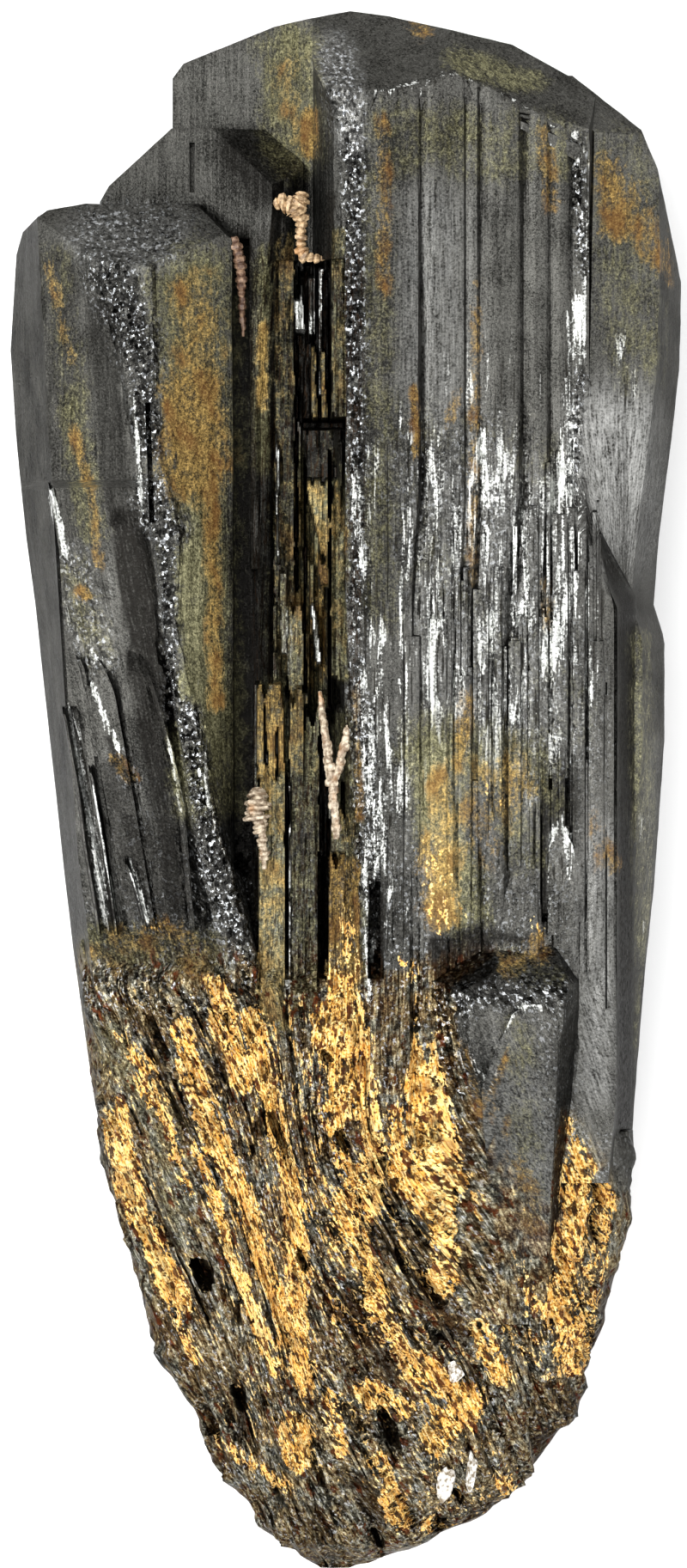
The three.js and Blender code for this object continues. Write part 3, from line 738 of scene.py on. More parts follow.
def blade(foot, tip, width, depth, slant=1.2, front=0.4, waver=0.0, seed=1):
    """A wedge between two points (x, y, z) on its front edge, wide at its back."""
    foot, tip = np.array(foot, dtype=float), np.array(tip, dtype=float)
    rows = max(2, int(abs(tip[1] - foot[1]) / BLADE_STEP) + 1)
    share = np.linspace(0, 1, rows)
    middle = foot + (tip - foot) * share[:, None]
    half = width / 2
    section = [
        (-half, -depth),
        (-half, -depth * 0.5),
        (-half * 0.85, -depth * 0.2),
        (-half * front, 0),
        (half * front, 0),
        (half * 0.9, -depth * 0.18),
        (half, -depth * 0.5),
        (half, -depth),
    ]
    lean = np.array([0, 0, 0, 0.3, 0.3, 0, 0, 0])
    rings = np.zeros((rows, len(section), 3))
    for column, (side, deep) in enumerate(section):
        rings[:, column, 0] = middle[:, 0] + side
        rings[:, column, 1] = middle[:, 1]
        rings[:, column, 2] = middle[:, 2] + deep
    rings[-1, :, 1] -= slant * lean
    if waver:
        rings[:, :, 0] += waver * noise(middle * (3, 1, 1), 2.4, seed)[:, None]
        rings[1:-1, 3:5, 2] += waver * 1.4 * noise(rings[1:-1, 3:5] * (4, 1, 4), 1.1, seed + 1)
    return skin("blade", rings)


def cleft(foot, tip, width, floor, waver=0.0, seed=1):
    """A wedge of space, open at the front, from foot to tip (x, y)."""
    top = 26.0
    return blade(
        (foot[0], foot[1], top), (tip[0], tip[1], top), width, top - floor, 0, 1.3, waver, seed
    )


CLEFTS = [
    cleft((-4.75, -3.6), (-4.85, 25.4), 0.8, 11.2, 0.04, 1),
    cleft((-1.65, -3.0), (-1.65, 24.4), 3.2, 13.2, 0.05, 2),
    cleft((-4.5, -1.0), (-4.55, 10.2), 1.0, 11.2, 0.06, 7),
    cleft((-8.9, 12.3), (-9.1, 17.8), 0.24, 15.8),
    cleft((-7.1, 27.6), (-7.1, 29.9), 0.25, 12.2),
    cleft((1.4, -8.6), (1.4, -4.1), 0.75, 15.6, 0.06, 3),
    cleft((9.1, -6.0), (9.1, 0.9), 0.3, 15.8, 0.03, 4),
    cleft((9.75, -1.6), (9.8, 0.6), 1.15, 15.6, 0.06, 5),
    cleft((11.95, -10), (11.95, 5), 0.08, 15.2),
    cleft((-12.75, 2.4), (-13.4, 13.0), 0.16, 14.2),
    cleft((-10.75, -6.4), (-12.55, 3.9), 0.3, 14.6),
    cleft((-10.3, -6.4), (-11.5, 1.6), 0.2, 15.2),
    cleft((-8.85, -6.2), (-9.8, -2.8), 0.14, 16.2),
    cleft((-10.5, 2.0), (-11.55, 5.0), 0.22, 15.4),
]
print("clefts", len(CLEFTS))

# %% The columns of the middle cleft
COLUMN_WAVER = 0.06  # how far their outlines stray, in mm
# Left and right x of the foot, its y, left and right x of the tip, its y, the height of the
# front, then how dark, ochre, olive and silvery it is.
MIDDLE = [
    (-3.35, -2.36, 8.6, -3.35, -2.36, 25.5, 15.9, 0.8, 0.3, 0.4, 0),
    (-2.3, -0.78, 16.9, -2.2, -0.78, 24.2, 14.2, 1, 0, 0, 0),
    (-1.73, -1.42, 20.6, -1.78, -1.4, 24.3, 16.4, 0.3, 0, 0, 0.5),
    (-1.3, -1.12, 18, -1.27, -1.08, 23.8, 16.3, 0.3, 0, 0, 0.55),
    (-1.56, -1.28, 17.1, -1.64, -1.4, 20.6, 16.6, 0, 0.6, 0.8, 0.1),
    (-1.1, -0.82, 17.1, -1.22, -0.98, 20.4, 16.6, 0, 0.55, 0.8, 0.1),
    (-2.28, -1.86, 21, -2.46, -2.04, 23.2, 17.1, 0, 0, 0, 1.8),
    (-0.68, 0, 17, -0.7, -0.05, 26.4, 18.2, 0.6, 0.25, 0.55, 0),
    (-3.2, -3.08, 10.2, -3.22, -3.1, 16.3, 16.5, 0, 0, 0, 1.2),
    (-1.95, -0.4, 14, -2, -0.6, 16.7, 16.9, 0.88, 0.05, 0.2, 0),
    (-1.15, -0.15, 10.8, -1.85, -0.35, 14, 17.4, 0, 0.6, 1, 0),
    (-1.2, -0.62, 9.4, -1.3, -0.7, 10.9, 17.2, 0.2, 0.6, 0.6, 0),
    (-0.7, 0.1, 5, -0.9, -0.1, 11.6, 17.6, 0.3, 0.3, 0.75, 0),
    (-2.95, -2.62, 6.1, -3.07, -2.7, 10.2, 16.6, 0, 0.2, 0.6, 0.4),
    (-1.35, -1.1, 5.6, -1.62, -1.42, 8.7, 17.3, 0, 0, 0, 1.5),
    (-2.6, -1.25, -11, -2.6, -1.25, 1.4, 17, 0.6, 0.1, 0.4, 0.06),
    (-4.1, -2.78, -11, -4, -2.8, 1.4, 17.1, 0, 0.5, 0.8, 0.1),
    (-2.66, -1.75, 4, -2.7, -1.85, 8.2, 16.5, 0.1, 0.35, 0.7, 0.2),
    (-2.6, -1.95, 0.7, -2.6, -1.9, 4.4, 17.1, 0.1, 0.45, 0.7, 0.1),
    (-1.95, -1.25, 0.2, -1.9, -1.2, 3.6, 16.9, 0.3, 0.25, 0.7, 0.1),
    (-4.1, -2.76, 0.6, -4.05, -2.9, 4.7, 17.35, 0, 0.75, 0.8, 0.1),
    (-3.72, -3.58, 1, -3.8, -3.7, 4.2, 16.7, 1, 0, 0, 0),
    (-3.24, -3.12, 0.6, -3.2, -3.06, 3.1, 16.8, 1, 0, 0, 0),
    (-0.75, 0.45, -3.2, -0.65, 0.2, -0.6, 18.4, 0, 0.45, 0.8, 0.1),
    (-0.95, 0.68, -11, -0.75, 0.62, -3.2, 18, 0, 0.8, 0.45, 0.1),
    (-2.78, -2.62, -10, -2.8, -2.62, 0.8, 13.6, 1, 0, 0, 0),
    (-2.64, -2.54, -10, -2.64, -2.54, 0.6, 17.2, 0, 0, 0, 0.75),
    (-1.25, -0.8, -8.4, -1.2, -0.75, 3.5, 13.4, 1, 0, 0, 0),
    (-2, 0, 16.75, -2, 0, 17.02, 13.6, 1, 0, 0, 0),
    (-2.36, -2.22, 9, -2.36, -2.24, 21, 13.4, 1, 0, 0, 0),
    (-3.5, -3.36, 4.8, -3.45, -3.35, 25.4, 13.4, 1, 0, 0, 0),
    (-0.8, -0.7, 4, -0.8, -0.72, 24, 14, 1, 0, 0, 0),
    (-1.98, -1.84, 4.6, -1.95, -1.84, 15, 13.6, 1, 0, 0, 0),
]


def in_column(points, row):
    """Where points lie within a column's wavering outline."""
    left_foot, right_foot, foot, left_tip, right_tip, tip = row[:6]
    x, y = points[..., 0], points[..., 1]
    inside = (x > min(left_foot, left_tip) - 0.2) & (x < max(right_foot, right_tip) + 0.2)
    inside = inside & (y > foot) & (y < tip + 0.3)
    near = points[inside]
    share = np.clip((near[:, 1] - foot) / (tip - foot), 0, 1)
    along = near * (0, 1, 0) + (foot * 3.1 + left_foot, 0, 0)
    left = left_foot + (left_tip - left_foot) * share + COLUMN_WAVER * noise(along, 1.1, 302, 2)
    right = right_foot + (right_tip - right_foot) * share + COLUMN_WAVER * noise(along, 1.1, 303, 2)
    broken = foot + 0.5 * (tip - foot > 2) * noise(near * (1, 0, 0) + (0, foot, 0), 0.3, 305)
    ragged = 0.8 * (tip - foot > 1) * noise(near * (1, 0, 0) + (0, foot + tip, 0), 0.22, 304)
    held = (near[:, 0] > left) & (near[:, 0] < right) & (near[:, 1] > broken)
    inside[inside] = held & (near[:, 1] < tip + ragged)
    return inside


def middle_height(points):
    """Height of the broken lamellae that fill the middle cleft."""
    x, y = points[..., 0], points[..., 1]
    drift = 0.5 * noise(points * (0.3, 1, 0), 3.0, 305, 2)
    rib = np.floor(x / 0.21 + drift)
    piece = np.floor(y / 3.4 + 5 * chance(rib, rib * 0, seed=306))
    level = chance(rib, piece, seed=307)
    keel_x = np.interp(y, [edge[1] for edge in KEEL_LEFT], [edge[0] for edge in KEEL_LEFT])
    base = np.interp(x - keel_x, [-3.4, -2.2, -1.2, -0.5, 0.1], [15.9, 15.4, 16.0, 17.2, 18.6])
    height = base + 1.1 * (level - 0.5) - 1.3 * (chance(rib, piece, seed=308) < 0.24)
    ribs = 0.1 * noise(points, (0.16, 3, 1), 309, 2) + 0.06 * noise(points, 0.5, 310)
    for row in MIDDLE:
        height = np.where(in_column(points, row), row[6] + ribs, height)
    height = np.where((x < -3.5) & (y > 4.9), 11.6, height)
    return height + 0.03 * noise(points, 0.3, 311)


def middle_lamellae():
    """A height field over the middle cleft, closed by a flat back."""
    x = np.linspace(-4.2, 0.72, 76)
    y = np.linspace(-10.8, 24.6, 168)
    grid = np.stack(np.meshgrid(x, y), axis=-1)
    points = np.concatenate([grid, np.zeros((*grid.shape[:2], 1))], axis=-1)
    points[..., 2] = middle_height(points)
    points[0, :, 2] -= 1.5
    points[-1, :, 2] -= 1.2
    back = points[:, ::-1][:, ::15].copy()
    back[..., 2] = 11.0
    return skin("middle_lamellae", np.concatenate([points, back], axis=1))


# %% Blades over the left crystal's front
# Thin ones that slant: x and y of the foot, x and y of the tip, height of the front, width.
SLANTING_BLADES = [
    (-11.35, -6.6, -12.95, 3.9, 16.5, 0.22),
    (-10.55, -6.6, -11.75, 1.2, 17, 0.22),
    (-9.2, -6.4, -10.1, -3, 17.6, 0.2),
    (-13, 9.8, -13.6, 14.2, 15.8, 0.26),
    (-10.9, 2, -11.85, 5.2, 16.6, 0.24),
    (-11.1, 1.2, -12.3, 6.4, 16.3, 0.4),
]


def panel(left, right, depth, rounded, relief, columns, spacing, seed):
    """A broad blade whose front lies between two edges of (x, y, z) points, with a round tip."""
    foot = max(left[0][1], right[0][1])
    head = min(left[-1][1], right[-1][1])
    y = np.linspace(foot, head, max(4, int((head - foot) / spacing)))
    a, b = line(left, y), line(right, y)
    middle = (a + b) / 2
    slim = np.sqrt(np.clip((head - y) / rounded, 0, 1) * 0.96 + 0.04)[:, None]
    slim = np.where((head - y)[:, None] < rounded, slim, 1.0)
    a, b = middle + (a - middle) * slim, middle + (b - middle) * slim
    share = np.linspace(0, 1, columns)[None, :, None]
    front = a[:, None] + (b - a)[:, None] * share
    points = np.stack([front[..., 0], np.repeat(y[:, None], columns, 1), front[..., 1]], -1)
    points[..., 2] += relief * noise(points, (0.35, 2.5, 0.35), seed, 2)
    points[..., 2] -= 0.5 * (1 - slim) * min(1.0, rounded)
    low_right, low_left = points[:, -1:].copy(), points[:, :1].copy()
    low_right[..., 2] -= depth
    low_left[..., 2] -= depth
    return skin("panel", np.concatenate([low_left, points, low_right], axis=1))


# %% Broad blades
# Right edge of the thin pale blade.
PALE_EDGE = [
    (-7, -6.2, 18),
    (-7.5, -0.8, 18.5),
    (-8, 1.9, 18.7),
    (-8.75, 4.6, 18.6),
    (-9.4, 6.3, 18.3),
]
# Left edge, right edge, then depth, length of the round tip, relief, columns and row spacing.
PANELS = [
    (
        [(-8.6, -6.2, 16.9), (-9.9, 3.0, 17.6), (-10.3, 7.0, 17.8), (-10.95, 12.9, 17.7)],
        [(-6.7, -6.2, 17.0), (-7.5, 3.0, 17.9), (-8.5, 8.8, 18.0), (-9.4, 12.9, 17.9)],
        (3, 0.9, 0.05, 10, 0.35),
    ),
    (
        [(-8.0, -6.4, 17.7), (-9.0, -1.7, 18.1), (-9.8, 2.3, 18.3), (-10.25, 6.5, 18.2)],
        [
            (-6.95, -6.4, 17.5),
            (-7.4, -0.8, 18),
            (-7.95, 1.9, 18.2),
            (-8.7, 4.2, 18.2),
            (-9.5, 6.5, 18.1),
        ],
        (3, 1.2, 0.04, 8, 0.35),
    ),
    (
        [(x - 0.2, y, z) for x, y, z in PALE_EDGE],
        PALE_EDGE,
        (1.2, 1, 0.02, 2, 0.35),
    ),
    (
        [(-9.9, -6.6, 16.5), (-11.2, 0.5, 16.8), (-12.0, 6.0, 16.7)],
        [(-8.7, -6.6, 16.7), (-9.9, 0.5, 17.2), (-10.9, 6.0, 17.1)],
        (2.6, 1.6, 0.09, 10, 0.35),
    ),
    (
        [(12.4, -15.6, 14.2), (12.44, -13.4, 16.2), (12.46, 8.4, 16.95), (10.25, 13.6, 17.3)],
        [
            (13.2, -15.6, 10.8),
            (13.2, -13.4, 12.6),
            (13.3, -4, 13.6),
            (13.35, 9, 13.7),
            (12.24, 11, 14.3),
            (10.9, 13.6, 15),
        ],
        (4, 0.01, 0.02, 8, 0.3),
    ),
    (
        [(9.26, -6.6, 17.3), (9.3, -2.6, 17.7), (9.68, -1.4, 17.6)],
        [(10.7, -6.6, 17.2), (10.6, -2.9, 17.6), (9.86, -1.4, 17.6)],
        (1.5, 0.5, 0.03, 10, 0.2),
    ),
]

# %% All blades together
grown_blades = []
for number, (foot_x, foot_y, tip_x, tip_y, z, width) in enumerate(SLANTING_BLADES):
    grown_blades.append(
        blade((foot_x, foot_y, z - 0.3), (tip_x, tip_y, z), width, 3, waver=0.04, seed=60 + number)
    )
grown_blades.extend(
    panel(left_edge, right_edge, *shape, 201 + number)
    for number, (left_edge, right_edge, shape) in enumerate(PANELS)
)
grown_blades.append(middle_lamellae())
print("blades", len(grown_blades))

# %% [markdown]
# ## Lamellae on the plate
# The lower half of the plate is built of thin lamellae laid on each other, and many of them end
# in a small ledge. Each is a flat lath with a chisel end: drawn where the ledges are largest,
# and scattered by a fixed rule in between.


# %% Lamellae
LATH_SECTION = [(-1, -0.5), (-1, 0.7), (-0.7, 1), (0.8, 1), (1, 0.6), (1, -0.5)]


def lath(x, foot, tip, width, raise_):
    """A thin lath on the plate's front, from foot to tip (y), raised by a fraction of a mm."""
    rows = max(3, int((tip - foot) / 1.2) + 1)
    y = np.linspace(foot, tip, rows)
    rings = np.zeros((rows, 6, 3))
    half = width / 2
    for column, (share, up) in enumerate(LATH_SECTION):
        side = half * share
        lift = raise_ * up if up > 0 else -0.4
        rings[:, column, 0] = x + side
        rings[:, column, 1] = y
        rings[:, column, 2] = plate_height(x + side, y) + lift
    rings[0, :, 2] -= raise_ + 0.15
    rings[-1, 1:5, 1] -= 0.12
    return skin("lath", rings)


# The largest: x, y of the foot, y of the tip, width, and how far it stands out.
LATHS = [
    (4.25, -5.4, 8, 0.8, 0.22),
    (3.05, -4, 7.2, 0.7, 0.2),
    (6.3, -3, 8.8, 0.5, 0.24),
    (6.95, -2, 10.4, 0.42, 0.3),
    (5.45, -5, 5.4, 0.6, 0.2),
    (2.4, -8, 12.6, 0.5, 0.18),
    (1.75, -8.5, 16, 0.34, 0.16),
    (7.75, -4, 7, 0.6, 0.26),
    (8.6, -1, 13.2, 0.5, 0.22),
    (9.85, 1.6, 12.8, 0.75, 0.3),
    (10.7, -6, 10.2, 0.6, 0.24),
    (11.5, -9, 7, 0.7, 0.16),
]
laths = [lath(*row) for row in LATHS]
for number in range(96):
    dice = [draw(number, k, 71) for k in range(5)]
    x = 1.4 + 10.6 * dice[0]
    tip = -3 + 17 * dice[1] + 3 * dice[2]
    lowest = -5.6 if 2.8 < x < 9.8 else -9.5
    foot = max(lowest, tip - 3 - 8 * dice[3])
    laths.append(lath(x, foot, tip, 0.12 + 0.34 * dice[4] ** 2, 0.04 + 0.08 * dice[2]))
print("laths", len(laths))

# %% [markdown]
# ## The small crystal low on the front
# A short stout crystal leans against the foot of the plate. Its end is a dark smooth facet, its
# rim glitters, and a dark side facet falls away to the right. The dark of both facets is painted
# shade.

# %% Small crystal
TONGUE_TOP = 19.9  # height of its front


def tongue_relief(face, across, points):
    """Ribs and, along the rim, small sharp crystals."""
    x, y = points[..., 0], points[..., 1]
    front = 0.03 * steps(across, points, 0.7, 81, 20)
    front = front + 0.03 * noise(points, (0.5, 2, 0.5), 82, 2)
    rim = (smooth(y, -11.2, -9.6) + 0.8 * (1 - smooth(x, 4.4, 6.0))) * rough_band(points, 83)
    return np.where((face == 1) | (face == 0), front + 0.8 * rim, 0.02 * noise(points, 0.8, 84))


tongue = crystal(
    "tongue_crystal",
    [
        [(3, -24.5, 14.5), (2.6, -12, 17.4), (2.4, -5, 17.6)],
        [(7.2, -24.5, 16.6), (6, -12.4, TONGUE_TOP), (5.8, -5, TONGUE_TOP + 0.2)],
        [
            (9.2, -24.5, 15.4),
            (9.7, -12, TONGUE_TOP - 0.2),
            (9.95, -10.6, TONGUE_TOP - 0.1),
            (10, -5, TONGUE_TOP),
        ],
        [(9.55, -24.5, 14.8), (10.4, -14, 16.4), (10.7, -9.9, 16.8), (10.75, -5, 16.8)],
        upright(9.6, 12, -24.5, -5),
        upright(3.4, 12, -24.5, -5),
    ],
    [22, 20, 8, 4, 3, 4],
    0.24,
    tongue_relief,
)
tongue = cut(
    tongue,
    ((6.8, -8.0, 18.9), (-0.24, 0.74, 0.63), 0.01),
    ((6.8, -8.0, 18.9), (0.2, 0.72, 0.66), 0.02),
    ((10.15, -8.4, 18), (0.82, 0.51, 0.25), 0.02),
    ((3.4, -8.2, 18), (-0.42, 0.6, 0.68), 0.02),
    ((7, -9.6, TONGUE_TOP - 0.1), (0.05, 0.4, 0.92), 0.05),
    step=0.25,
    size=16,
)
# A low block behind it, on the plate.
block = crystal(
    "block",
    [upright(x, z, -8, -3) for x, z in ((6.3, 16), (6.5, 18.1), (8.8, 17.8), (9, 16))],
    [4, 8, 4, 2],
    0.4,
    lambda face, across, points: 0.03 * noise(points, 0.6, 86, 2),
)
block = cut(block, ((7.6, -5.0, 18.0), (0.05, 0.3, 0.95), 0.03), size=8, step=0.4)

# %% The plate on the small crystal's front
# A flat lath: x and y along its pointed end.
PLATELET = [
    (6.2, -13.6),
    (6.7, -12.2),
    (7.16, -11.2),
    (7.6, -10.2),
    (8.2, -9.75),
    (9.15, -9.75),
    (9.7, -10.5),
]


def platelet():
    """A raised panel that runs down from its pointed end."""
    outline = np.array(PLATELET)
    share = np.linspace(0, 1, 30)[:, None]
    foot = -22.0
    y = outline[None, :, 1] + (foot - outline[None, :, 1]) * (1 - share)
    x = outline[None, :, 0] + (8.5 - outline[None, :, 0]) * 0.45 * (1 - share) ** 1.5
    top = np.interp(y, [-24.5, -12.2], [16.0, TONGUE_TOP]) - 0.03 * np.abs(x - 7)
    rise = 0.4 - 0.6 * (1 - share) ** 3 + 0.02 * np.sin(x * 5)
    front = np.stack([x, y, top + rise], axis=-1)
    back = np.stack([x[:, ::-1], y[:, ::-1], top[:, ::-1] - 1.2], axis=-1)
    return skin("platelet", np.concatenate([front, back], axis=1))


tongue_plate = platelet()
print("small crystal faces", len(tongue.data.polygons), len(tongue_plate.data.polygons))

# %% [markdown]
# ## The root
# Below the ledge the prisms run out into a fan of fibrous blades, broken off at the lower end.
# The fibres lean to the right as they go down. They are followed by one rule, a coordinate that
# stays the same along a fibre, so that ridges, pits and crust all run the same way.

# %% The root's outline and its fibres
ROOT_END, ROOT_TOP = -36.0, -6.6  # y of its broken end and of the ledge
ROOT_BELLY = 8.4  # height at which it is widest
ROOT_LEFT = [
    (-36, -1.4),
    (-35.1, -2.7),
    (-34.1, -4),
    (-33.1, -4.5),
    (-31.7, -5.8),
    (-30.3, -6.6),
    (-28.8, -7),
    (-27.4, -7.9),
    (-26, -8.8),
    (-23.1, -9.6),
    (-20, -10.6),
    (-17, -11.4),
    (-12, -11.9),
    (-6, -12.6),
]
ROOT_RIGHT = [
    (-36, 0.3),
    (-35.5, 1.8),
    (-34.6, 4),
    (-33.6, 6.3),
    (-32.2, 8.2),
    (-31.2, 8.9),
    (-29.8, 9.8),
    (-28.8, 10.7),
    (-26, 11.5),
    (-23.1, 12.4),
    (-20, 13.2),
    (-17, 13.4),
    (-12, 13.4),
    (-6, 14),
]
ROOT_FRONT = [
    (-36, 9),
    (-34.8, 12),
    (-31, 14.4),
    (-26, 16),
    (-20, 17.3),
    (-13, 18),
    (-9.2, 17.9),
    (-6, 16.4),
]
ROOT_BACK = [(-36, 5.4), (-34.5, 3.2), (-31, 1.6), (-26, 0.6), (-20, 0.2), (-6, 0.2)]


def profile(pairs, y):
    """The value at each height y on a line through (y, value) pairs."""
    heights, values = np.array(pairs, dtype=float).T
    return np.interp(y, heights, values)


def root_height(x, y):
    """Height of the root's front, apart from its blades."""
    left, right = profile(ROOT_LEFT, y), profile(ROOT_RIGHT, y)
    across = np.clip(np.abs(x - (left + right) / 2) / ((right - left) / 2), 0, 1)
    up = np.sqrt(1 - across**2.5)
    return ROOT_BELLY + (profile(ROOT_FRONT, y) - ROOT_BELLY) * up**0.62


def fibre(x, y):
    """A coordinate across the fibres: the x that the fibre through a point has at the ledge."""
    depth = np.maximum(0, -9 - y)
    left = 1 - smooth(x, -6, -0.5)
    right = smooth(x, 2.5, 8)
    middle = 1 - left - right
    late = np.log1p(np.exp(depth - 7))
    return x - left * 0.45 * depth - middle * 0.55 * late - right * 0.36 * depth


def along_fibres(points):
    """Points with x replaced by the coordinate across the fibres."""
    return np.stack([fibre(points[..., 0], points[..., 1]), points[..., 1], 0 * points[..., 2]], -1)


# %% [markdown]
# ## Where crust and stains lie
# A porous orange crust of weathered iron minerals fills the grooves between the root's blades.
# Fainter ochre and olive films stain the crystals. Both are laid on as a few broad
# strokes, and their borders are broken up by noise that runs with the fibres.


# %% Strokes
def strokes(points, rows, edge=0.45):
    """How strongly the strokes (x, y, x, y, half width, strength) cover each point, 0 to 1."""
    x, y = points[..., 0], points[..., 1]
    result = np.zeros(x.shape)
    for x0, y0, x1, y1, half, strength in rows:
        length = max((x1 - x0) ** 2 + (y1 - y0) ** 2, 1e-6)
        share = np.clip(((x - x0) * (x1 - x0) + (y - y0) * (y1 - y0)) / length, 0, 1)
        away = np.hypot(x - x0 - share * (x1 - x0), y - y0 - share * (y1 - y0))
        cover = strength * smooth(-away, -half * (1 + edge), -half * (1 - edge))
        result = np.maximum(result, cover)
    return result


def facet_patch(points, corners, soft=0.1):
    """1 inside an outline of corners given clockwise, 0 outside, and soft between."""
    cover = np.ones(points.shape[:-1])
    for (x0, y0), (x1, y1) in zip(corners, corners[1:] + corners[:1]):
        away = (points[..., 0] - x0) * (y1 - y0) - (points[..., 1] - y0) * (x1 - x0)
        cover = np.minimum(cover, smooth(away / math.hypot(x1 - x0, y1 - y0), -soft, soft))
    return cover


# %% Strokes of crust
CRUST = [
    (-10.7, -14.8, -9.8, -19.2, 0.75, 0.84),
    (-9.8, -19.2, -7.6, -23.6, 0.65, 0.84),
    (-10.2, -11.4, -8.7, -14.2, 0.4, 0.6),
    (-7.6, -10.9, -6.9, -13.6, 0.5, 0.84),
    (-6.9, -13.6, -4.7, -18.7, 0.5, 0.84),
    (-4.7, -18.7, -3, -23.9, 0.5, 0.84),
    (-3, -23.9, -1.9, -27.2, 0.55, 0.84),
    (-6.1, -9, -4.8, -13.4, 0.6, 0.84),
    (-4.3, -10.4, -3.5, -14.4, 0.55, 0.84),
    (-3.5, -14.4, -2.3, -19, 0.5, 0.84),
    (-2.3, -19, -2.2, -25.3, 0.55, 0.84),
    (-2.3, -29.2, -2.3, -30.8, 0.75, 0.84),
    (-5.6, -20.6, -3.2, -26.6, 0.4, 0.72),
    (-6.9, -16.4, -5.4, -20.4, 0.3, 0.7),
    (-8.6, -22.8, -6.9, -26.2, 0.25, 0.7),
    (-0.2, -7.2, 0.2, -10.4, 0.7, 0.84),
    (-0.7, -10.6, 0, -14.2, 1, 0.84),
    (0.9, -10.8, 1.2, -19.4, 0.55, 0.84),
    (-0.6, -14.6, 0.1, -20.4, 0.5, 0.75),
    (0.2, -19.8, 2.4, -25.6, 0.6, 0.72),
    (3.7, -9.2, 3.9, -12.2, 0.6, 0.84),
    (3.7, -12.6, 4, -18.4, 1.2, 0.95),
    (4.3, -18.4, 4.6, -22.4, 0.75, 0.78),
    (2.1, -14.6, 2.5, -18, 0.45, 0.78),
    (4.9, -12.8, 5.3, -17.8, 0.5, 0.66),
    (-9, -12.6, -7.2, -18.4, 0.3, 0.62),
    (2.9, -8.2, 2, -10, 0.3, 0.7),
    (1, -27.6, 2.4, -28.4, 0.7, 0.78),
    (3.2, -26.4, 5.6, -28.4, 0.8, 0.84),
    (4.2, -29.8, 5.6, -27.8, 0.8, 0.84),
    (1.4, -30.8, 2.6, -33.6, 0.5, 0.78),
    (10.6, -15.2, 10.9, -17.8, 0.6, 0.84),
    (10.9, -16.9, 11.6, -18.2, 0.6, 0.84),
    (11.9, -18.8, 11.5, -21.6, 0.6, 0.56),
    (11.5, -21.8, 10.6, -26.4, 0.6, 0.54),
    (10.9, -17.8, 12, -18.6, 0.5, 0.84),
    (10.7, -17.4, 10.2, -21.2, 0.75, 0.84),
    (10.2, -21.2, 9.8, -23.8, 0.6, 0.84),
    (9.6, -24, 10.6, -25.8, 0.9, 0.7),
    (7.9, -21.2, 8.5, -23.8, 0.4, 0.78),
    (6.2, -24.6, 7.2, -26.8, 0.5, 0.7),
    (7.5, -15, 8.6, -18.4, 0.25, 0.7),
    (6, -18.6, 6.4, -19.6, 0.35, 0.7),
    (7.2, -31.9, 7.6, -32.4, 0.4, 0.7),
    (3.8, -33.8, 4.6, -34.2, 0.3, 0.7),
    (-6, -29.8, -2.6, -32.2, 0.35, 0.6),
    (-0.6, -27.6, -0.2, -30.4, 0.3, 0.6),
    (-10.6, -10.6, -6, -24, 1.6, 0.2),
    (-6, -11, -2.6, -26, 2, 0.28),
    (-2.4, -11, 0.4, -24, 1.8, 0.3),
    (2.4, -14, 4.6, -28, 2, 0.24),
    (7.6, -19, 8.8, -26, 1.8, 0.28),
    (-4, -28, 6, -32, 2.2, 0.26),
    (10.8, -18, 10, -26, 1, 0.4),
    (5.6, -14, 7, -20, 0.9, 0.32),
    (3, -10, 3.6, -13, 0.9, 0.4),
]

# Thinner crust above the root, on the plate's foot, the middle columns and the left shelf.
HIGH_CRUST = [
    (4.2, -2.6, 4.4, -6.2, 0.8, 0.4),
    (3.9, -2.2, 4, -4.4, 0.4, 0.42),
    (6.4, 0.4, 7.2, -0.4, 0.7, 0.36),
    (4.9, -4.4, 5.3, -5.6, 0.35, 0.46),
    (0, -5.6, 0.2, -8.4, 0.5, 0.5),
    (8.5, -6, 8.9, -6.4, 0.25, 0.6),
    (2.6, -7.6, 3.2, -8.6, 0.35, 0.5),
    (-9.4, -6.1, -8.6, -6.4, 0.4, 0.42),
]
print("crust", len(CRUST), "above the root", len(HIGH_CRUST))


# %% The crust's borders and pores
def crust_at(points):
    """Cover of the crust, with borders that follow the fibres."""
    streaks = noise(along_fibres(points), (0.4, 1.6, 1), 91, 2)
    shifted = points + 0.22 * np.stack([streaks, streaks, streaks], axis=-1)
    cover = strokes(shifted, CRUST)
    return np.clip(cover + 0.35 * streaks * smooth(cover, 0.02, 0.5), 0, 1)


def pores_at(points):
    """Depth of the crust's pores, 0 to 1."""
    near, number = cells(along_fibres(points), (0.42, 0.95, 1), 93)
    return smooth(-near, -0.5, -0.15) * (number > 0.3)


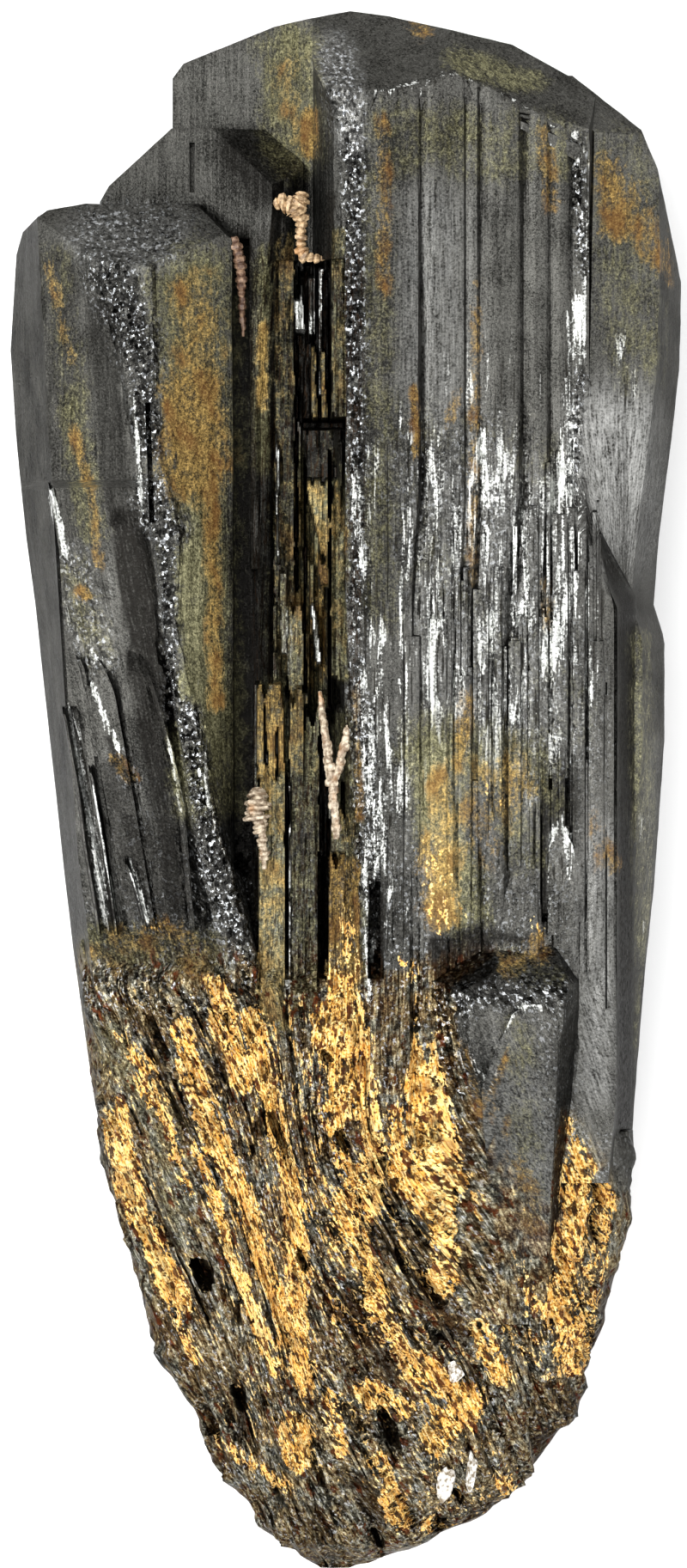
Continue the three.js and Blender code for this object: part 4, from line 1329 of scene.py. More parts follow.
# %% The root's body
def root_body():
    """Rings around the root, with relief that runs along its fibres."""
    rows, front_columns, back_columns = 128, 124, 34
    share = np.linspace(0, 1, rows) ** 1.15
    y = (ROOT_END + (ROOT_TOP - ROOT_END) * share)[:, None]
    turn = np.concatenate(
        [
            np.linspace(math.pi, 0, front_columns, endpoint=False),
            np.linspace(0, -math.pi, back_columns, endpoint=False),
        ]
    )[None, :]
    across, up = np.cos(turn), np.sin(turn)
    left, right = profile(ROOT_LEFT, y), profile(ROOT_RIGHT, y)
    x = (left + right) / 2 + (right - left) / 2 * np.sign(across) * np.abs(across) ** 0.85
    y = y + 0 * x
    front = root_height(x, y)
    back = ROOT_BELLY + (profile(ROOT_BACK, y) - ROOT_BELLY) * np.abs(up) ** 0.4
    is_front = up > 0
    # It stays below the right crystal, below the ledge, and inside the right crystal's flank.
    front = front - 4.5 * smooth(x, 10.1, 10.7) * smooth(y, -15.6, -14.8)
    front = front - 2.2 * smooth(x, -6.0, -5.2) * smooth(y, -9.8, -6.8)
    points = np.stack([x, y, np.where(is_front, front, back)], axis=-1)
    points[..., 0] -= 1.9 * smooth(x, 11.0, 13.2) * smooth(y, -15.8, -14.4)
    streams = along_fibres(points)
    ridges = 1 - 2 * np.abs(noise(streams, (0.95, 7, 1), 101))
    fine = 1 - 2 * np.abs(noise(streams, (0.42, 2.6, 1), 102))
    broken = noise(streams, (0.6, 1.1, 1), 109)
    near, number = cells(streams, (0.55, 2.2, 1), 103)
    hollow = smooth(-near - 0.25 * broken, -0.5, -0.2) * (number > 0.62)
    crust = smooth(crust_at(points), 0.4, 0.8)
    lumps = noise(points, (1.6, 2.4, 2.4), 104, 2)
    ledge = smooth(points[..., 1], -9.6, -8.0) * smooth(-points[..., 0], 3.2, 4.4)
    relief = 0.34 * ridges * (1 - 0.5 * crust) + 0.18 * fine + 0.3 * lumps - 0.55 * hollow
    relief = relief + 0.12 * broken + 0.2 * crust - 0.4 * crust * pores_at(points)
    relief = relief + ledge * (0.5 * rough_band(points, 105) + 0.25 * noise(points, 0.7, 106, 2))
    rim = 0.25 * noise(points, (1.2, 1.3, 1.2), 107, 2) + 0.12 * noise(points, 0.45, 108)
    front_depth = relief * smooth(up, 0.0, 0.35) + rim * (1 - smooth(up, 0.1, 0.5))
    depth = np.where(is_front, front_depth, rim)
    depth[0] *= 0.3
    depth[-1] *= 0.5
    points[..., 0] += depth * across * np.abs(across) - 0.15 * across
    points[..., 2] += depth * np.sign(up) * smooth(np.abs(up), 0, 0.3)
    return skin("root", points)


# %% Blades on the root
def fibre_x(start, y):
    """x of the fibre that starts at a place on the ledge, at height y."""
    places = np.linspace(-16, 18, 341)
    return float(np.interp(start, fibre(places, np.full_like(places, y)), places))


def root_blades():
    """Narrow ridges along the fibres, three after each other on most fibres."""
    made = []
    number = 0
    start = -13.4
    while start < 13.2:
        for part in range(3):
            number += 1
            dice = [draw(number, k, 111) for k in range(9)]
            high = ROOT_TOP - 1.0 - 2.4 * dice[1] - 8.5 * part - 3 * (part > 0) * dice[7]
            low = high - 5 - 9 * dice[2]
            y = np.arange(high, max(low, -34.8), -0.45)
            x = np.array([fibre_x(start + 0.8 * part * (dice[8] - 0.5), v) for v in y])
            inside = (x > profile(ROOT_LEFT, y) + 0.8) & (x < profile(ROOT_RIGHT, y) - 0.8)
            inside = inside & ((x < 10.2) | (y < -15.4))
            if inside.sum() < 6:
                continue
            x, y = x[inside][::-1], y[inside][::-1]
            width = 0.22 + 0.42 * dice[3] ** 1.5
            raise_ = 0.15 + 0.5 * dice[4] ** 1.5
            spot = np.stack([x, y, 0 * x], axis=-1)
            lift = raise_ * (1 + 0.5 * noise(spot, (1, 1.6, 1), 112 + number))
            lift = lift * smooth(np.minimum(y - y[0], y[-1] - y), -0.3, 1.2) - 0.15
            rings = np.zeros((len(x), 6, 3))
            shape = [(-1, -1.4), (-0.8, -0.1), (-0.3, 1), (0.25, 0.95), (0.7, 0.1), (1, -1.4)]
            for column, (side, rise) in enumerate(shape):
                rough = 0.06 * noise(spot + (column * 5, 0, 0), (1, 0.8, 1), 113)
                rings[:, column, 0] = x + side * width + rough
                rings[:, column, 1] = y
                base = root_height(x, y)
                rings[:, column, 2] = base + (lift * rise if rise > 0 else rise)
            made.append(skin("root_blade", rings))
        start += 0.62 + 0.4 * dice[5]
    return made


# %% Pits in the root
PIT_LEAN = 0.35  # mm to the right for each mm down
# Where blades have broken out: x, y, width, length, depth.
ROOT_PITS = [
    (-6.63, -22.17, 1.1, 1.9, 2.2),
    (1.9, -29.25, 0.9, 2, 1.8),
    (-4.9, -28, 0.7, 1.4, 1.4),
    (-3.15, -15.6, 0.6, 2, 1.3),
    (-0.2, -16, 0.6, 1.4, 1.2),
    (-0.9, -12.2, 0.5, 0.8, 0.9),
    (2.6, -21.6, 0.6, 1.4, 1),
    (1.5, -34.6, 0.5, 1.6, 1.2),
    (-2, -21.6, 0.5, 1.3, 0.9),
    (5.2, -32.6, 0.6, 1.2, 0.8),
]


def ball(place, radii):
    """A rough ball that leans with the fibres, to be hollowed from a body."""
    bpy.ops.mesh.primitive_ico_sphere_add(subdivisions=3, radius=1)
    obj = bpy.context.object
    obj.name = "ball"
    spots = np.array([v.co for v in obj.data.vertices])
    spots = spots * (1 + 0.55 * noise(spots * 2.2 + place, 1.0, 121, 2))[:, None]
    spots = spots * radii
    spots[:, 0] -= PIT_LEAN * spots[:, 1]
    spots += place
    obj.data.vertices.foreach_set("co", spots.ravel())
    return obj


# %% The root in one place
root = root_body()
fibres = root_blades()
pits = [
    ball((x, y, float(root_height(x, y)) + 0.2), (width / 2, length / 2, depth))
    for x, y, width, length, depth in ROOT_PITS
]
print("root faces", len(root.data.polygons), "root blades", len(fibres), "pits", len(pits))

# %% [markdown]
# ## One solid
# Crystals that grew together are one solid, so everything is joined, the clefts and pits are
# cut from it, and the flat back that it rests on is trimmed.


# %% Joining
# A plain block inside the prisms, which leaves no hollow between them: its corners' x and z.
CORE = [(-10.4, 8), (-9, 11), (12, 11), (12.4, 8), (9, 1), (-9.5, 1.8)]
core = crystal(
    "core",
    [upright(x, z, -17.3, 23.3) for x, z in CORE],
    [1] * len(CORE),
    50,
)
under = facet((0, 0, 0), (0, 0, -1), size=90, step=90)
tantalite = worked(main, [plate, right, left, second, core], "UNION")
tantalite = worked(tantalite, [worked(CLEFTS[0], CLEFTS[1:], "UNION")], "DIFFERENCE")
details = [
    worked(grown_blades[0], grown_blades[1:], "UNION"),
    worked(laths[0], laths[1:], "UNION"),
    worked(tongue, [block, tongue_plate], "UNION"),
    worked(root, [worked(fibres[0], fibres[1:], "UNION")], "UNION"),
]
tantalite = worked(tantalite, details, "UNION")
tantalite = worked(tantalite, [worked(pits[0], pits[1:] + [under], "UNION")], "DIFFERENCE")
tantalite.data.name = "tantalite"
triangles = sum(len(face.vertices) - 2 for face in tantalite.data.polygons)
print("tantalite vertices", len(tantalite.data.vertices), "triangles", triangles)

# %% [markdown]
# ## What covers each place
# Every point of the solid now gets numbers for what covers it: crust, ochre and olive films, a
# painted silvery highlight on the lower plate, and glitter with painted glints on the bands of
# small crystals. Only what faces the front is covered. Painted shade is added below as well. The
# material turns these soft numbers into broken borders.

# %% Points of the solid
points = np.array([v.co for v in tantalite.data.vertices])
normals = np.array([v.vector for v in tantalite.data.vertex_normals])
px, py, pz = points.T
facing = smooth(normals[:, 2], -0.05, 0.35)
print("share that faces the front", round(float((facing > 0.5).mean()), 2))

# %% Strokes of ochre and olive
OCHRE = [
    (-7, 22.8, -6.6, 18.6, 1.2, 0.7),
    (-7.1, 18, -7, 14.6, 1.5, 1),
    (-6.2, 13.6, -6, 4, 0.45, 0.75),
    (-2.6, 33.2, -2.2, 30, 0.8, 0.45),
    (-1.7, 31.2, -1.6, 29.4, 0.35, 1),
    (1.7, 30.6, 1.75, 23, 0.4, 0.55),
    (6, 23.4, 5.8, 9.6, 0.3, 0.55),
    (3.1, 18.4, 3.2, 15.4, 0.22, 0.9),
    (5.1, 18.2, 4.7, 16.8, 0.3, 0.6),
    (9.2, 9.6, 9.3, 7.4, 0.3, 0.8),
    (9, 30.2, 9.4, 27, 0.5, 0.5),
    (3.2, 35.1, 3.5, 35, 0.4, 0.8),
    (12.2, 28.8, 12.6, 26, 0.8, 0.7),
    (13, 27.6, 14.2, 24.6, 0.8, 0.5),
    (13.2, 26.2, 12, 25.8, 0.5, 0.6),
    (14.6, 25.4, 14.9, 23.6, 0.4, 0.6),
    (-3.85, 21.4, -3.8, 19.8, 0.28, 1),
    (-3.85, 19.2, -3.8, 17.8, 0.3, 1),
    (-0.8, 13.2, -0.4, 11.2, 0.5, 1),
    (-1.2, 10.8, -1.1, 5.2, 0.25, 0.7),
    (-3.3, 4.2, -3.3, 1.6, 0.45, 0.8),
    (-3.4, -0.6, -3.5, -3.6, 0.35, 1),
    (-3.3, -4, -3.2, -8.6, 0.35, 0.7),
    (-0.2, -1.6, 0.1, -6.8, 0.45, 1),
    (0.5, 4.6, 0.6, -1.2, 0.22, 0.8),
    (-12.5, 16.6, -11.9, 14.2, 0.3, 0.8),
    (-13.6, 24.2, -12.6, 19.6, 0.35, 0.5),
    (-11.7, 14, -11.3, 10.4, 0.3, 0.55),
    (4.2, 0.6, 4.6, -2.4, 0.6, 0.8),
    (4.1, -2.6, 4.5, -5.6, 0.9, 1),
    (-2.3, 13.6, -2.2, 5.2, 0.9, 0.5),
    (5.6, 4.6, 5.2, 1.4, 0.4, 0.8),
    (6.2, 0.8, 7.4, -0.6, 0.9, 0.65),
    (5.6, -1, 6.4, -2.6, 0.9, 0.5),
    (7.6, 1.2, 8.2, 0.2, 0.8, 0.8),
    (11.4, -2, 12.2, -3.4, 0.5, 0.6),
    (7.4, -7.9, 8.8, -7.6, 0.7, 0.6),
    (-12.2, 9.2, -11.9, 9, 0.3, 0.9),
    (-10.6, 1.5, -9.8, 0.6, 0.35, 0.8),
    (-10.6, -6.8, -6.8, -7.2, 0.7, 0.55),
    (7.2, -12.4, 7.3, -12.8, 0.3, 0.8),
    (8.2, -17.4, 8.6, -20, 0.6, 0.5),
    (5, -11.6, 6.2, -14.6, 0.4, 0.6),
    (8.6, -7, 8.9, -6.6, 0.25, 1),
    (6.6, -13.2, 7.9, -18, 0.25, 0.6),
    (-8.6, -6.2, -7.6, -6.6, 0.5, 0.8),
    (-11.6, -7.4, -10.6, -8.2, 0.5, 0.6),
    (-7.6, -7.6, -6.6, -8.4, 0.5, 0.6),
    (-1.6, 18.8, -1.2, 16.4, 0.3, 0.8),
]
OLIVE = [
    (-7.2, 23.4, -6.8, 15, 1.9, 0.8),
    (-6.9, 14, -6.3, 0, 1.4, 1),
    (-2.6, 34, -2.4, 29.6, 1.4, 0.8),
    (2.2, 30, 9.6, 29.4, 1.6, 0.45),
    (5, 33.6, 8.6, 32.6, 0.6, 0.8),
    (12.6, 29, 13.4, 20, 1.6, 0.42),
    (3.6, 1.8, 5.4, -6.6, 1, 1),
    (-12.5, 10.2, -11.4, 6.4, 0.8, 0.4),
    (7.8, -11, 8.4, -19, 0.9, 0.42),
    (7.6, -7.6, 9, -8.6, 0.7, 0.5),
    (1.2, 28, 1.6, 8, 1, 0.42),
    (3.4, 16, 9, 15, 1.8, 0.25),
    (-3.7, 24.6, -3.8, 15, 0.5, 0.8),
    (-0.9, 14.4, -0.6, 10.4, 0.8, 1),
    (-2, 15, -2, 4.6, 1.4, 0.85),
    (-1.2, 20.6, -1.1, 15, 0.5, 0.7),
    (-3.3, 4.8, -3.2, -10.6, 0.7, 1),
    (-0.1, 3, 0.2, -8.4, 0.7, 0.9),
    (4, 2, 8.2, 1, 1.6, 0.8),
    (4.2, -1.6, 5.6, -5.6, 1.2, 0.9),
    (6.6, 0.8, 8.4, -3, 1, 0.5),
    (9.2, 0.4, 9.8, -0.8, 0.6, 0.4),
    (-11.6, -7.2, -6.4, -7.4, 1.1, 0.7),
    (-12.6, 17.4, -11.6, 12, 0.7, 0.6),
    (-13.4, 24.6, -12.4, 18, 0.7, 0.4),
    (-11, -11.4, -8.4, -15.2, 1, 0.6),
    (-8.4, -15.2, -7.6, -20.2, 0.9, 0.6),
    (7.4, -8, 9.6, -8.6, 0.6, 0.6),
    (13.6, 7, 13.9, -12, 0.6, 0.5),
    (2.2, 12, 10, 4, 2, 0.25),
]
print("ochre", len(OCHRE), "olive", len(OLIVE))

# %% Strokes of painted highlight, glitter and painted sheen
PAINTED_HIGHLIGHT = [
    (3, 16, 3.2, 2, 1.4, 0.34),
    (3, 8, 3.2, 0, 1.2, 0.36),
    (6.6, 18, 7, 14, 2.4, 0.16),
    (7, 13, 7.2, 2.6, 2.4, 0.44),
    (6.9, 15.6, 7.1, 10, 0.5, 0.68),
    (6.4, 8.6, 6.7, 2, 0.8, 0.62),
    (6, 6, 6.4, 2.4, 1.6, 0.5),
    (0.8, 15.4, 1.2, 2, 0.6, 0.42),
    (1.6, 2, 2, -6, 0.8, 0.36),
    (9.6, 13.6, 9.8, 6.4, 1, 0.72),
    (10.6, 22.4, 10.1, 15, 0.3, 0.8),
    (10, 15, 9.9, 9, 0.5, 0.8),
    (10.8, 9, 11, 5, 0.8, 0.45),
    (3.9, 8, 4.3, 1.4, 0.25, 0.9),
    (6.6, 8.6, 6.4, 5.4, 0.3, 1),
    (6.3, 16.2, 6.4, 13.2, 0.3, 1),
    (9.32, -6, 9.34, -2.5, 0.06, 0.9),
    (9.34, -2.5, 9.75, -1.5, 0.08, 1.4),
    (9.8, -1.5, 10.3, -2.3, 0.08, 1.4),
    (10.3, -2.3, 10.6, -3.4, 0.07, 1.2),
    (9.95, -2.3, 9.95, -3.8, 0.4, 0.55),
    (-7.36, 4.5, -6.2, 5.4, 0.06, 1.3),
    (-6.55, 1.8, -6.3, -0.6, 0.08, 1.1),
    (-6.3, -0.6, -5.6, -2.9, 0.08, 1.1),
    (13.75, -1.2, 13.85, -2.2, 0.25, 0.6),
    (13.7, -6.2, 13.75, -7.4, 0.2, 0.6),
    (12.6, 20.6, 12.9, 18.2, 0.5, 0.35),
    (1.3, 2, 1.5, -5, 0.6, 0.45),
    (-12.2, 10.4, -11.4, 6.6, 0.8, 0.3),
    (-13.6, 13.8, -12.9, 10.8, 0.13, 1.5),
    (-11.72, 4.9, -10.45, 1.9, 0.08, 1.4),
    (-12.75, 3.8, -10.95, -6.3, 0.09, 1.3),
    (-11.64, 0.2, -10.5, -6.3, 0.07, 1.3),
    (-9.98, -3.3, -9.08, -6.1, 0.08, 1.2),
    (-9.7, 18, -9.35, 12.8, 0.1, 1.2),
    (1.5, 32, 3.3, 32.4, 0.08, 0.6),
    (3.3, 32.4, 4.8, 32.9, 0.08, 0.6),
    (4.8, 32.9, 6.5, 32.3, 0.08, 0.6),
    (6.5, 32.3, 8.2, 31.2, 0.08, 0.7),
    (8.2, 31.2, 9.9, 30.5, 0.08, 0.7),
    (9.9, 30.5, 11.1, 28.9, 0.1, 0.7),
    (11.1, 28.9, 11, 20, 0.12, 0.5),
    (7.1, -11.4, 7.6, -10.2, 0.08, 0.9),
    (7.6, -10.2, 8.2, -9.75, 0.08, 0.9),
    (8.2, -9.75, 9.15, -9.75, 0.08, 0.9),
    (9.15, -9.75, 9.6, -10.4, 0.06, 0.8),
    (5.6, -12, 6.4, -13.4, 0.4, 0.5),
    (0.9, -3.6, 1, -9.8, 0.1, 1),
    (-7.4, -0.8, -8, 2.2, 0.1, 0.7),
]
GLITTER = [
    (-0.6, 33.8, 0.1, 31, 0.75, 1),
    (0.3, 31, 0.45, 15, 0.45, 1),
    (0.45, 15, 0.5, 4, 0.4, 0.6),
    (0.6, 4, 1, -5, 0.6, 0.7),
    (-11.2, 25.6, -8.4, 25.4, 1.3, 0.6),
    (-10.8, 23.8, -9.4, 20, 1, 1),
    (-9.6, 20, -8.9, 15.8, 0.6, 1),
    (-8.8, 12.6, -8.2, 12, 0.8, 1),
    (-8.2, 11, -8, 3.6, 0.4, 1),
    (-7.2, 3.6, -6.4, -1.4, 0.6, 1),
    (-6.2, -2.6, -4.8, -6.6, 0.9, 1),
    (-4.6, -7, -4.3, -9.6, 0.7, 0.9),
    (-12.5, 10.4, -11.4, 6.2, 0.8, 0.45),
    (-10.5, 1.6, -9.9, 0.4, 0.4, 0.5),
    (-8.9, 13.4, -8, 12, 0.9, 1),
    (-11.4, -8.8, -6.8, -10, 1, 0.8),
    (4.6, -9.4, 9.8, -9.2, 0.8, 0.8),
    (4, -10.4, 5.4, -13.4, 0.8, 0.6),
    (10.6, 29.8, 10.9, 24, 0.3, 0.8),
    (10.8, 19, 10.3, 14, 0.3, 0.8),
    (-0.2, -22.4, 0.2, -24.6, 0.8, 0.7),
    (0, -14, 1, -32, 12, 0.4),
    (5, 14, 9, 2, 3, 0.3),
]
SHEEN = [
    (-0.6, 34.2, 0.3, 30, 0.7, 0.55),
    (-11.6, 25.6, -8, 25.2, 1.2, 0.4),
    (12.4, 16.6, 12.9, 12, 1.9, 1),
    (4, 26, 4.2, 18, 1.6, 0.3),
    (6.6, 12, 7, 4, 3.4, 0.35),
    (11.6, -2, 11.6, -13.6, 0.9, 0.45),
    (14.2, 2, 14, -14, 0.5, 0.4),
    (7.6, -12, 8.8, -20, 1.2, 0.25),
]
PLAIN = [  # where nothing glitters
    (7, -11.5, 8.6, -21, 1.7, 1),
    (11.4, -6, 11.6, -14.6, 1, 1),
    (14, 0, 13.8, -14, 0.9, 1),
]
print("painted_highlight", len(PAINTED_HIGHLIGHT), "glitter", len(GLITTER), "sheen", len(SHEEN), "plain", len(PLAIN))

# %% Dark facets, and strokes of shade
# Smooth facets painted dark as shade, by the x and y of their corners, and how dark each is.
TONGUE_FACET = [
    (3.75, -6.8),
    (6, -6),
    (6.45, -6.2),
    (6.9, -7.6),
    (6.75, -8.95),
    (4.25, -9.2),
    (3.8, -7.9),
]
DARK_FACETS = [
    (TONGUE_FACET, 0.94),
    ([(8.9, -7.2), (9.62, -7.5), (10.4, -8.5), (10.1, -8.9), (8.0, -9.0)], 0.6),
    ([(9.94, -10.75), (10.7, -9.85), (10.4, -14.3), (9.62, -14.1)], 0.6),
    (
        [(-10.93, 12.7), (-10.73, 12.97), (-9.66, 13.25), (-8.75, 10.2), (-8.5, 7.3), (-10.1, 7.3)],
        0.95,
    ),
    ([(-10.1, 7.5), (-8.5, 7.5), (-7.79, 3.57), (-7.36, -0.4), (-7.6, -0.9)], 0.95),
    (
        [
            (-10.25, 6.74),
            (-9.9, 6.7),
            (-8.35, 2.6),
            (-7.6, -1.2),
            (-7, -5.6),
            (-8.07, -5.6),
            (-9.3, 1.2),
        ],
        0.85,
    ),
    ([(9.1, 0.7), (10.4, 0.7), (10.6, 0.1), (10.6, -1.4), (9.1, -1.4)], 0.85),
    ([(9.1, -1.3), (9.7, -1.3), (9.26, -2.5), (9.1, -2.5)], 0.9),
    ([(9.9, -1.3), (10.62, -1.3), (10.62, -2.9)], 0.7),
]
DARK = [
    (-8.6, 2, -7.4, -5.4, 0.5, 0.7),
    (-8.9, -2, -8.2, -5.8, 0.8, 0.5),
    (-11, -7, -7, -7, 0.9, 0.6),
    (-10.6, 1, -9.6, -5.4, 0.7, 0.6),
    (-13.4, 24, -11.9, 8, 1, 0.35),
    (-11.2, 22, -10.4, 12.6, 0.7, 0.6),
    (-3.5, 25.5, -3.6, 6, 0.6, 0.35),
    (-4.75, 25.4, -4.7, -3.4, 0.45, 1),
    (-5, 29.6, -3.6, 27.8, 1, 0.7),
    (-3.8, 29.4, -2.8, 28.2, 0.9, 0.7),
    (12.9, 8.4, 12.86, -15.4, 0.4, 0.9),
    (12.86, -15, 12.9, -17, 0.4, 0.35),
    (10.6, 13.5, 12.9, 8.6, 0.38, 0.9),
    (13.5, 12.4, 14, 7, 0.8, 0.35),
    (10, -14.2, 9.5, -20.4, 0.16, 0.9),
    (5.4, -3.4, 5.2, -6.2, 0.14, 0.8),
    (9.07, -6, 9.07, 1.4, 0.14, 1),
    (-11.3, -0.8, -10.7, -6.2, 0.12, 1),
    (-10.9, 2.4, -10.3, 0.8, 0.16, 0.9),
    (1.4, -8.6, 1.4, -4.1, 0.4, 1),
    (5.9, -6.6, 8.2, -6.8, 0.3, 0.9),
    (-0.3, -23.6, 2.2, -26.6, 0.5, 0.85),
    (3.6, -22.8, 5.2, -25, 0.5, 0.8),
    (-5, -27.2, -4.6, -29.6, 0.25, 0.9),
    (0.6, -31.8, 1.6, -33.6, 0.45, 0.8),
    (-3, -18.5, -2.6, -20, 0.3, 0.6),
    (5.3, -16, 6, -20, 0.35, 0.6),
    (-8.6, -18, -8, -21, 0.2, 0.7),
    (1, -15.6, 1.4, -18.6, 0.25, 0.5),
]
print("dark facets", len(DARK_FACETS), "shade", len(DARK))

# %% Strokes of tone: paler crust, and stone that is lighter or duller than its usual grey, partly painted highlight on lit bevels and painted shade on shaded facets
PALE_CRUST = [
    (4.4, -13.4, 4.4, -18.6, 0.6, 1),
    (1.3, -13.4, 1.4, -19.2, 0.35, 1),
    (-10.6, -16, -8.4, -22.6, 0.4, 0.8),
    (-5.4, -20.6, -3.4, -26.2, 0.3, 0.9),
    (4.6, -19.6, 4.8, -22, 0.4, 0.8),
    (0.2, -8, 0.6, -10.4, 0.4, 0.7),
]
LIGHTER = [
    (-3.9, 21.8, -3.8, 17.8, 0.4, 1),
    (-1.4, 13.6, -0.9, 11.4, 0.5, 0.8),
    (-6.6, -20, -3, -29, 3, 0.25),
    (-2, -30.6, 6, -31.6, 2.8, 0.35),
    (5, -20, 8, -27, 2.6, 0.25),
    (9.6, 4.6, 11.8, 0.8, 1.2, 0.6),
    (5.6, 12, 6, 2.4, 3.6, 0.16),
    (-11.2, -9.4, -7.2, -9.6, 0.8, 0.4),
    (10.2, -2, 11.4, -8, 1, 0.3),
    (13.8, 4.4, 14.2, -7, 0.6, 0.6),
    (13.7, 11, 14.4, 7.2, 0.5, 1),
    (-11.9, 2.4, -11.1, -5.6, 0.9, 0.35),
    (-12.4, 10.4, -11.2, 6.4, 0.9, 0.8),
    (-0.9, 33.8, 0, 31.4, 0.8, 0.9),
    (-7.5, 12.4, -6.6, 3, 0.8, 0.6),
    (-3.4, 2.4, -3.2, -9.2, 0.8, 0.6),
    (11.4, -16, 11.6, -23, 1.4, 0.5),
    (-10.6, -12, -7.4, -21, 1.6, 0.3),
    (4.4, 0.8, 4.6, -5, 1.3, 0.9),
    (6.4, 1.2, 8.7, -1.4, 1, 0.6),
    (6.4, -1.6, 8.4, -5.8, 1, 0.35),
    (-9.7, 6.6, -8.2, 2.9, 0.14, 1),
    (-8.2, 2.9, -7.4, -1, 0.14, 1),
]
DULLER = [
    (1.8, 30, 2, 9, 1.6, 0.6),
    (4.4, 31, 4.4, 22, 0.8, 0.5),
    (7, -12, 8.6, -20, 1.5, 0.55),
    (-9.8, 2.6, -8.4, -5.4, 0.9, 0.6),
    (-11.2, 2, -10, -5.4, 0.6, 0.1),
    (-5.2, 29.6, -3.4, 28, 1, 0.8),
    (-10.8, -7, -6.6, -7, 0.9, 0.5),
    (12.4, 16, 12.9, 12, 1.6, 0.3),
    (-13, 3, -12.2, -6, 0.6, 0.4),
    (-8.8, -24.8, -6, -31, 1.2, 0.4),
    (11.8, -24.4, 9.4, -28.8, 0.9, 0.4),
]
# Left and right x of the foot, its y, left and right x of the tip, its y, the height of the front,
# then how dark with painted shade, ochre, olive and silvery with painted highlight it is.
print("pale crust", len(PALE_CRUST), "lighter", len(LIGHTER), "duller", len(DULLER))

# %% Crust
# It ends where the prisms begin, and is worn off what stands out.
root_front = root_height(px, py)
root_top = np.interp(px, [9.5, 10.0, 12.6, 14.0], [-7.5, -14.8, -18.4, -19.6])
on_root = smooth(root_top - py, -1, 1) * (pz < root_front + 1.6)
stand_out = pz - root_front
crust = crust_at(points) * facing * on_root
crust = crust * (1 - 0.75 * smooth(stand_out, 0.45, 0.8) * on_root * (px < 9.8))
crust = np.maximum(crust, strokes(points, HIGH_CRUST, 0.8) * facing)
print("covered share", {"crust": round(float((crust > 0.5).mean()), 3)})

# %% Films, painted highlight and glitter
ochre, olive = strokes(points, OCHRE, 0.75) * facing, strokes(points, OLIVE, 0.75) * facing
painted_highlight = strokes(points, PAINTED_HIGHLIGHT, 0.8) * facing
glitter = strokes(points, GLITTER, 0.7) * facing * (1 - strokes(points, PLAIN))
olive, ochre = olive * (1 - 0.75 * glitter), ochre * (1 - 0.5 * glitter)
clean = 1 - 0.75 * facet_patch(points, TONGUE_FACET, 0.2)
olive, ochre = olive * clean, ochre * clean

# %% Shade
# Painted shade: ends that look up, deep places in the clefts, dark facets and hollows of the root
# are painted dark, standing in for the shade there.
ends = smooth(normals[:, 1], 0.35, 0.65) * smooth(normals[:, 2], -0.05, 0.1)
ends = ends * smooth(py, -9.2, -8.4)
in_clefts = (np.abs(px - 3) < 10) & (py < 26) & (py > -9) & (pz > 8)
deep = smooth(-pz, -15.0, -13.2) * in_clefts
dark = np.maximum(np.maximum(0.3 * ends, strokes(points, DARK)), deep)
for corners, strength in DARK_FACETS:
    dark = np.maximum(dark, strength * facet_patch(points, corners))
sunk = smooth(-stand_out, -0.1, 0.6) * on_root * (pz > 6)
dark = np.maximum(dark, 0.75 * sunk)
# Painted shade on faces that lean to the right, away from the left light.
painted_right_shade = smooth(normals[:, 0], 0.3, 0.7)


# %% Covers of the middle columns
def paint_middle(*covers):
    """Covers with those of the middle columns laid over them."""
    held = (px > -4.3) & (px < 0.75) & (py > -10.9) & (py < 26)
    spots = points[held]
    own = [cover[held] for cover in covers]
    for row in MIDDLE:
        inside = in_column(spots, row)
        own = [np.where(inside, tone, cover) for tone, cover in zip(row[7:], own)]
    for cover, part in zip(covers, own):
        cover[held] = part
    return covers


dark, ochre, olive, painted_highlight = paint_middle(dark, ochre, olive, painted_highlight)


# %% Numbers for the material
def paint(name, *values):
    """Keeps up to three numbers for each point as one attribute."""
    layer = tantalite.data.attributes.new(name, "FLOAT_COLOR", "POINT")
    colours = np.ones((len(points), 4))
    for k, value in enumerate(values):
        colours[:, k] = value
    layer.data.foreach_set("color", colours.ravel())


flank = on_root * smooth(-pz, -9.6, -6.5)
between = (np.abs(px + 1.8) < 2.5) & (py < 24.6) & (py > -11)
paint("covers", crust, ochre, olive)
paint("surface", painted_highlight, glitter, np.clip(crust * pores_at(points), 0, 1))
paint("shade", dark, painted_right_shade, strokes(points, PALE_CRUST, 0.7))
paint("tone", strokes(points, LIGHTER, 0.8), strokes(points, DULLER, 0.8), flank)
# The first number is painted sheen; the other two mark the root and its cracks.
paint("sheen_and_root", strokes(points, SHEEN, 0.8) * facing, on_root, np.maximum(0.8 * on_root, between))
print("attributes", [layer.name for layer in tantalite.data.attributes if layer.domain == "POINT"])

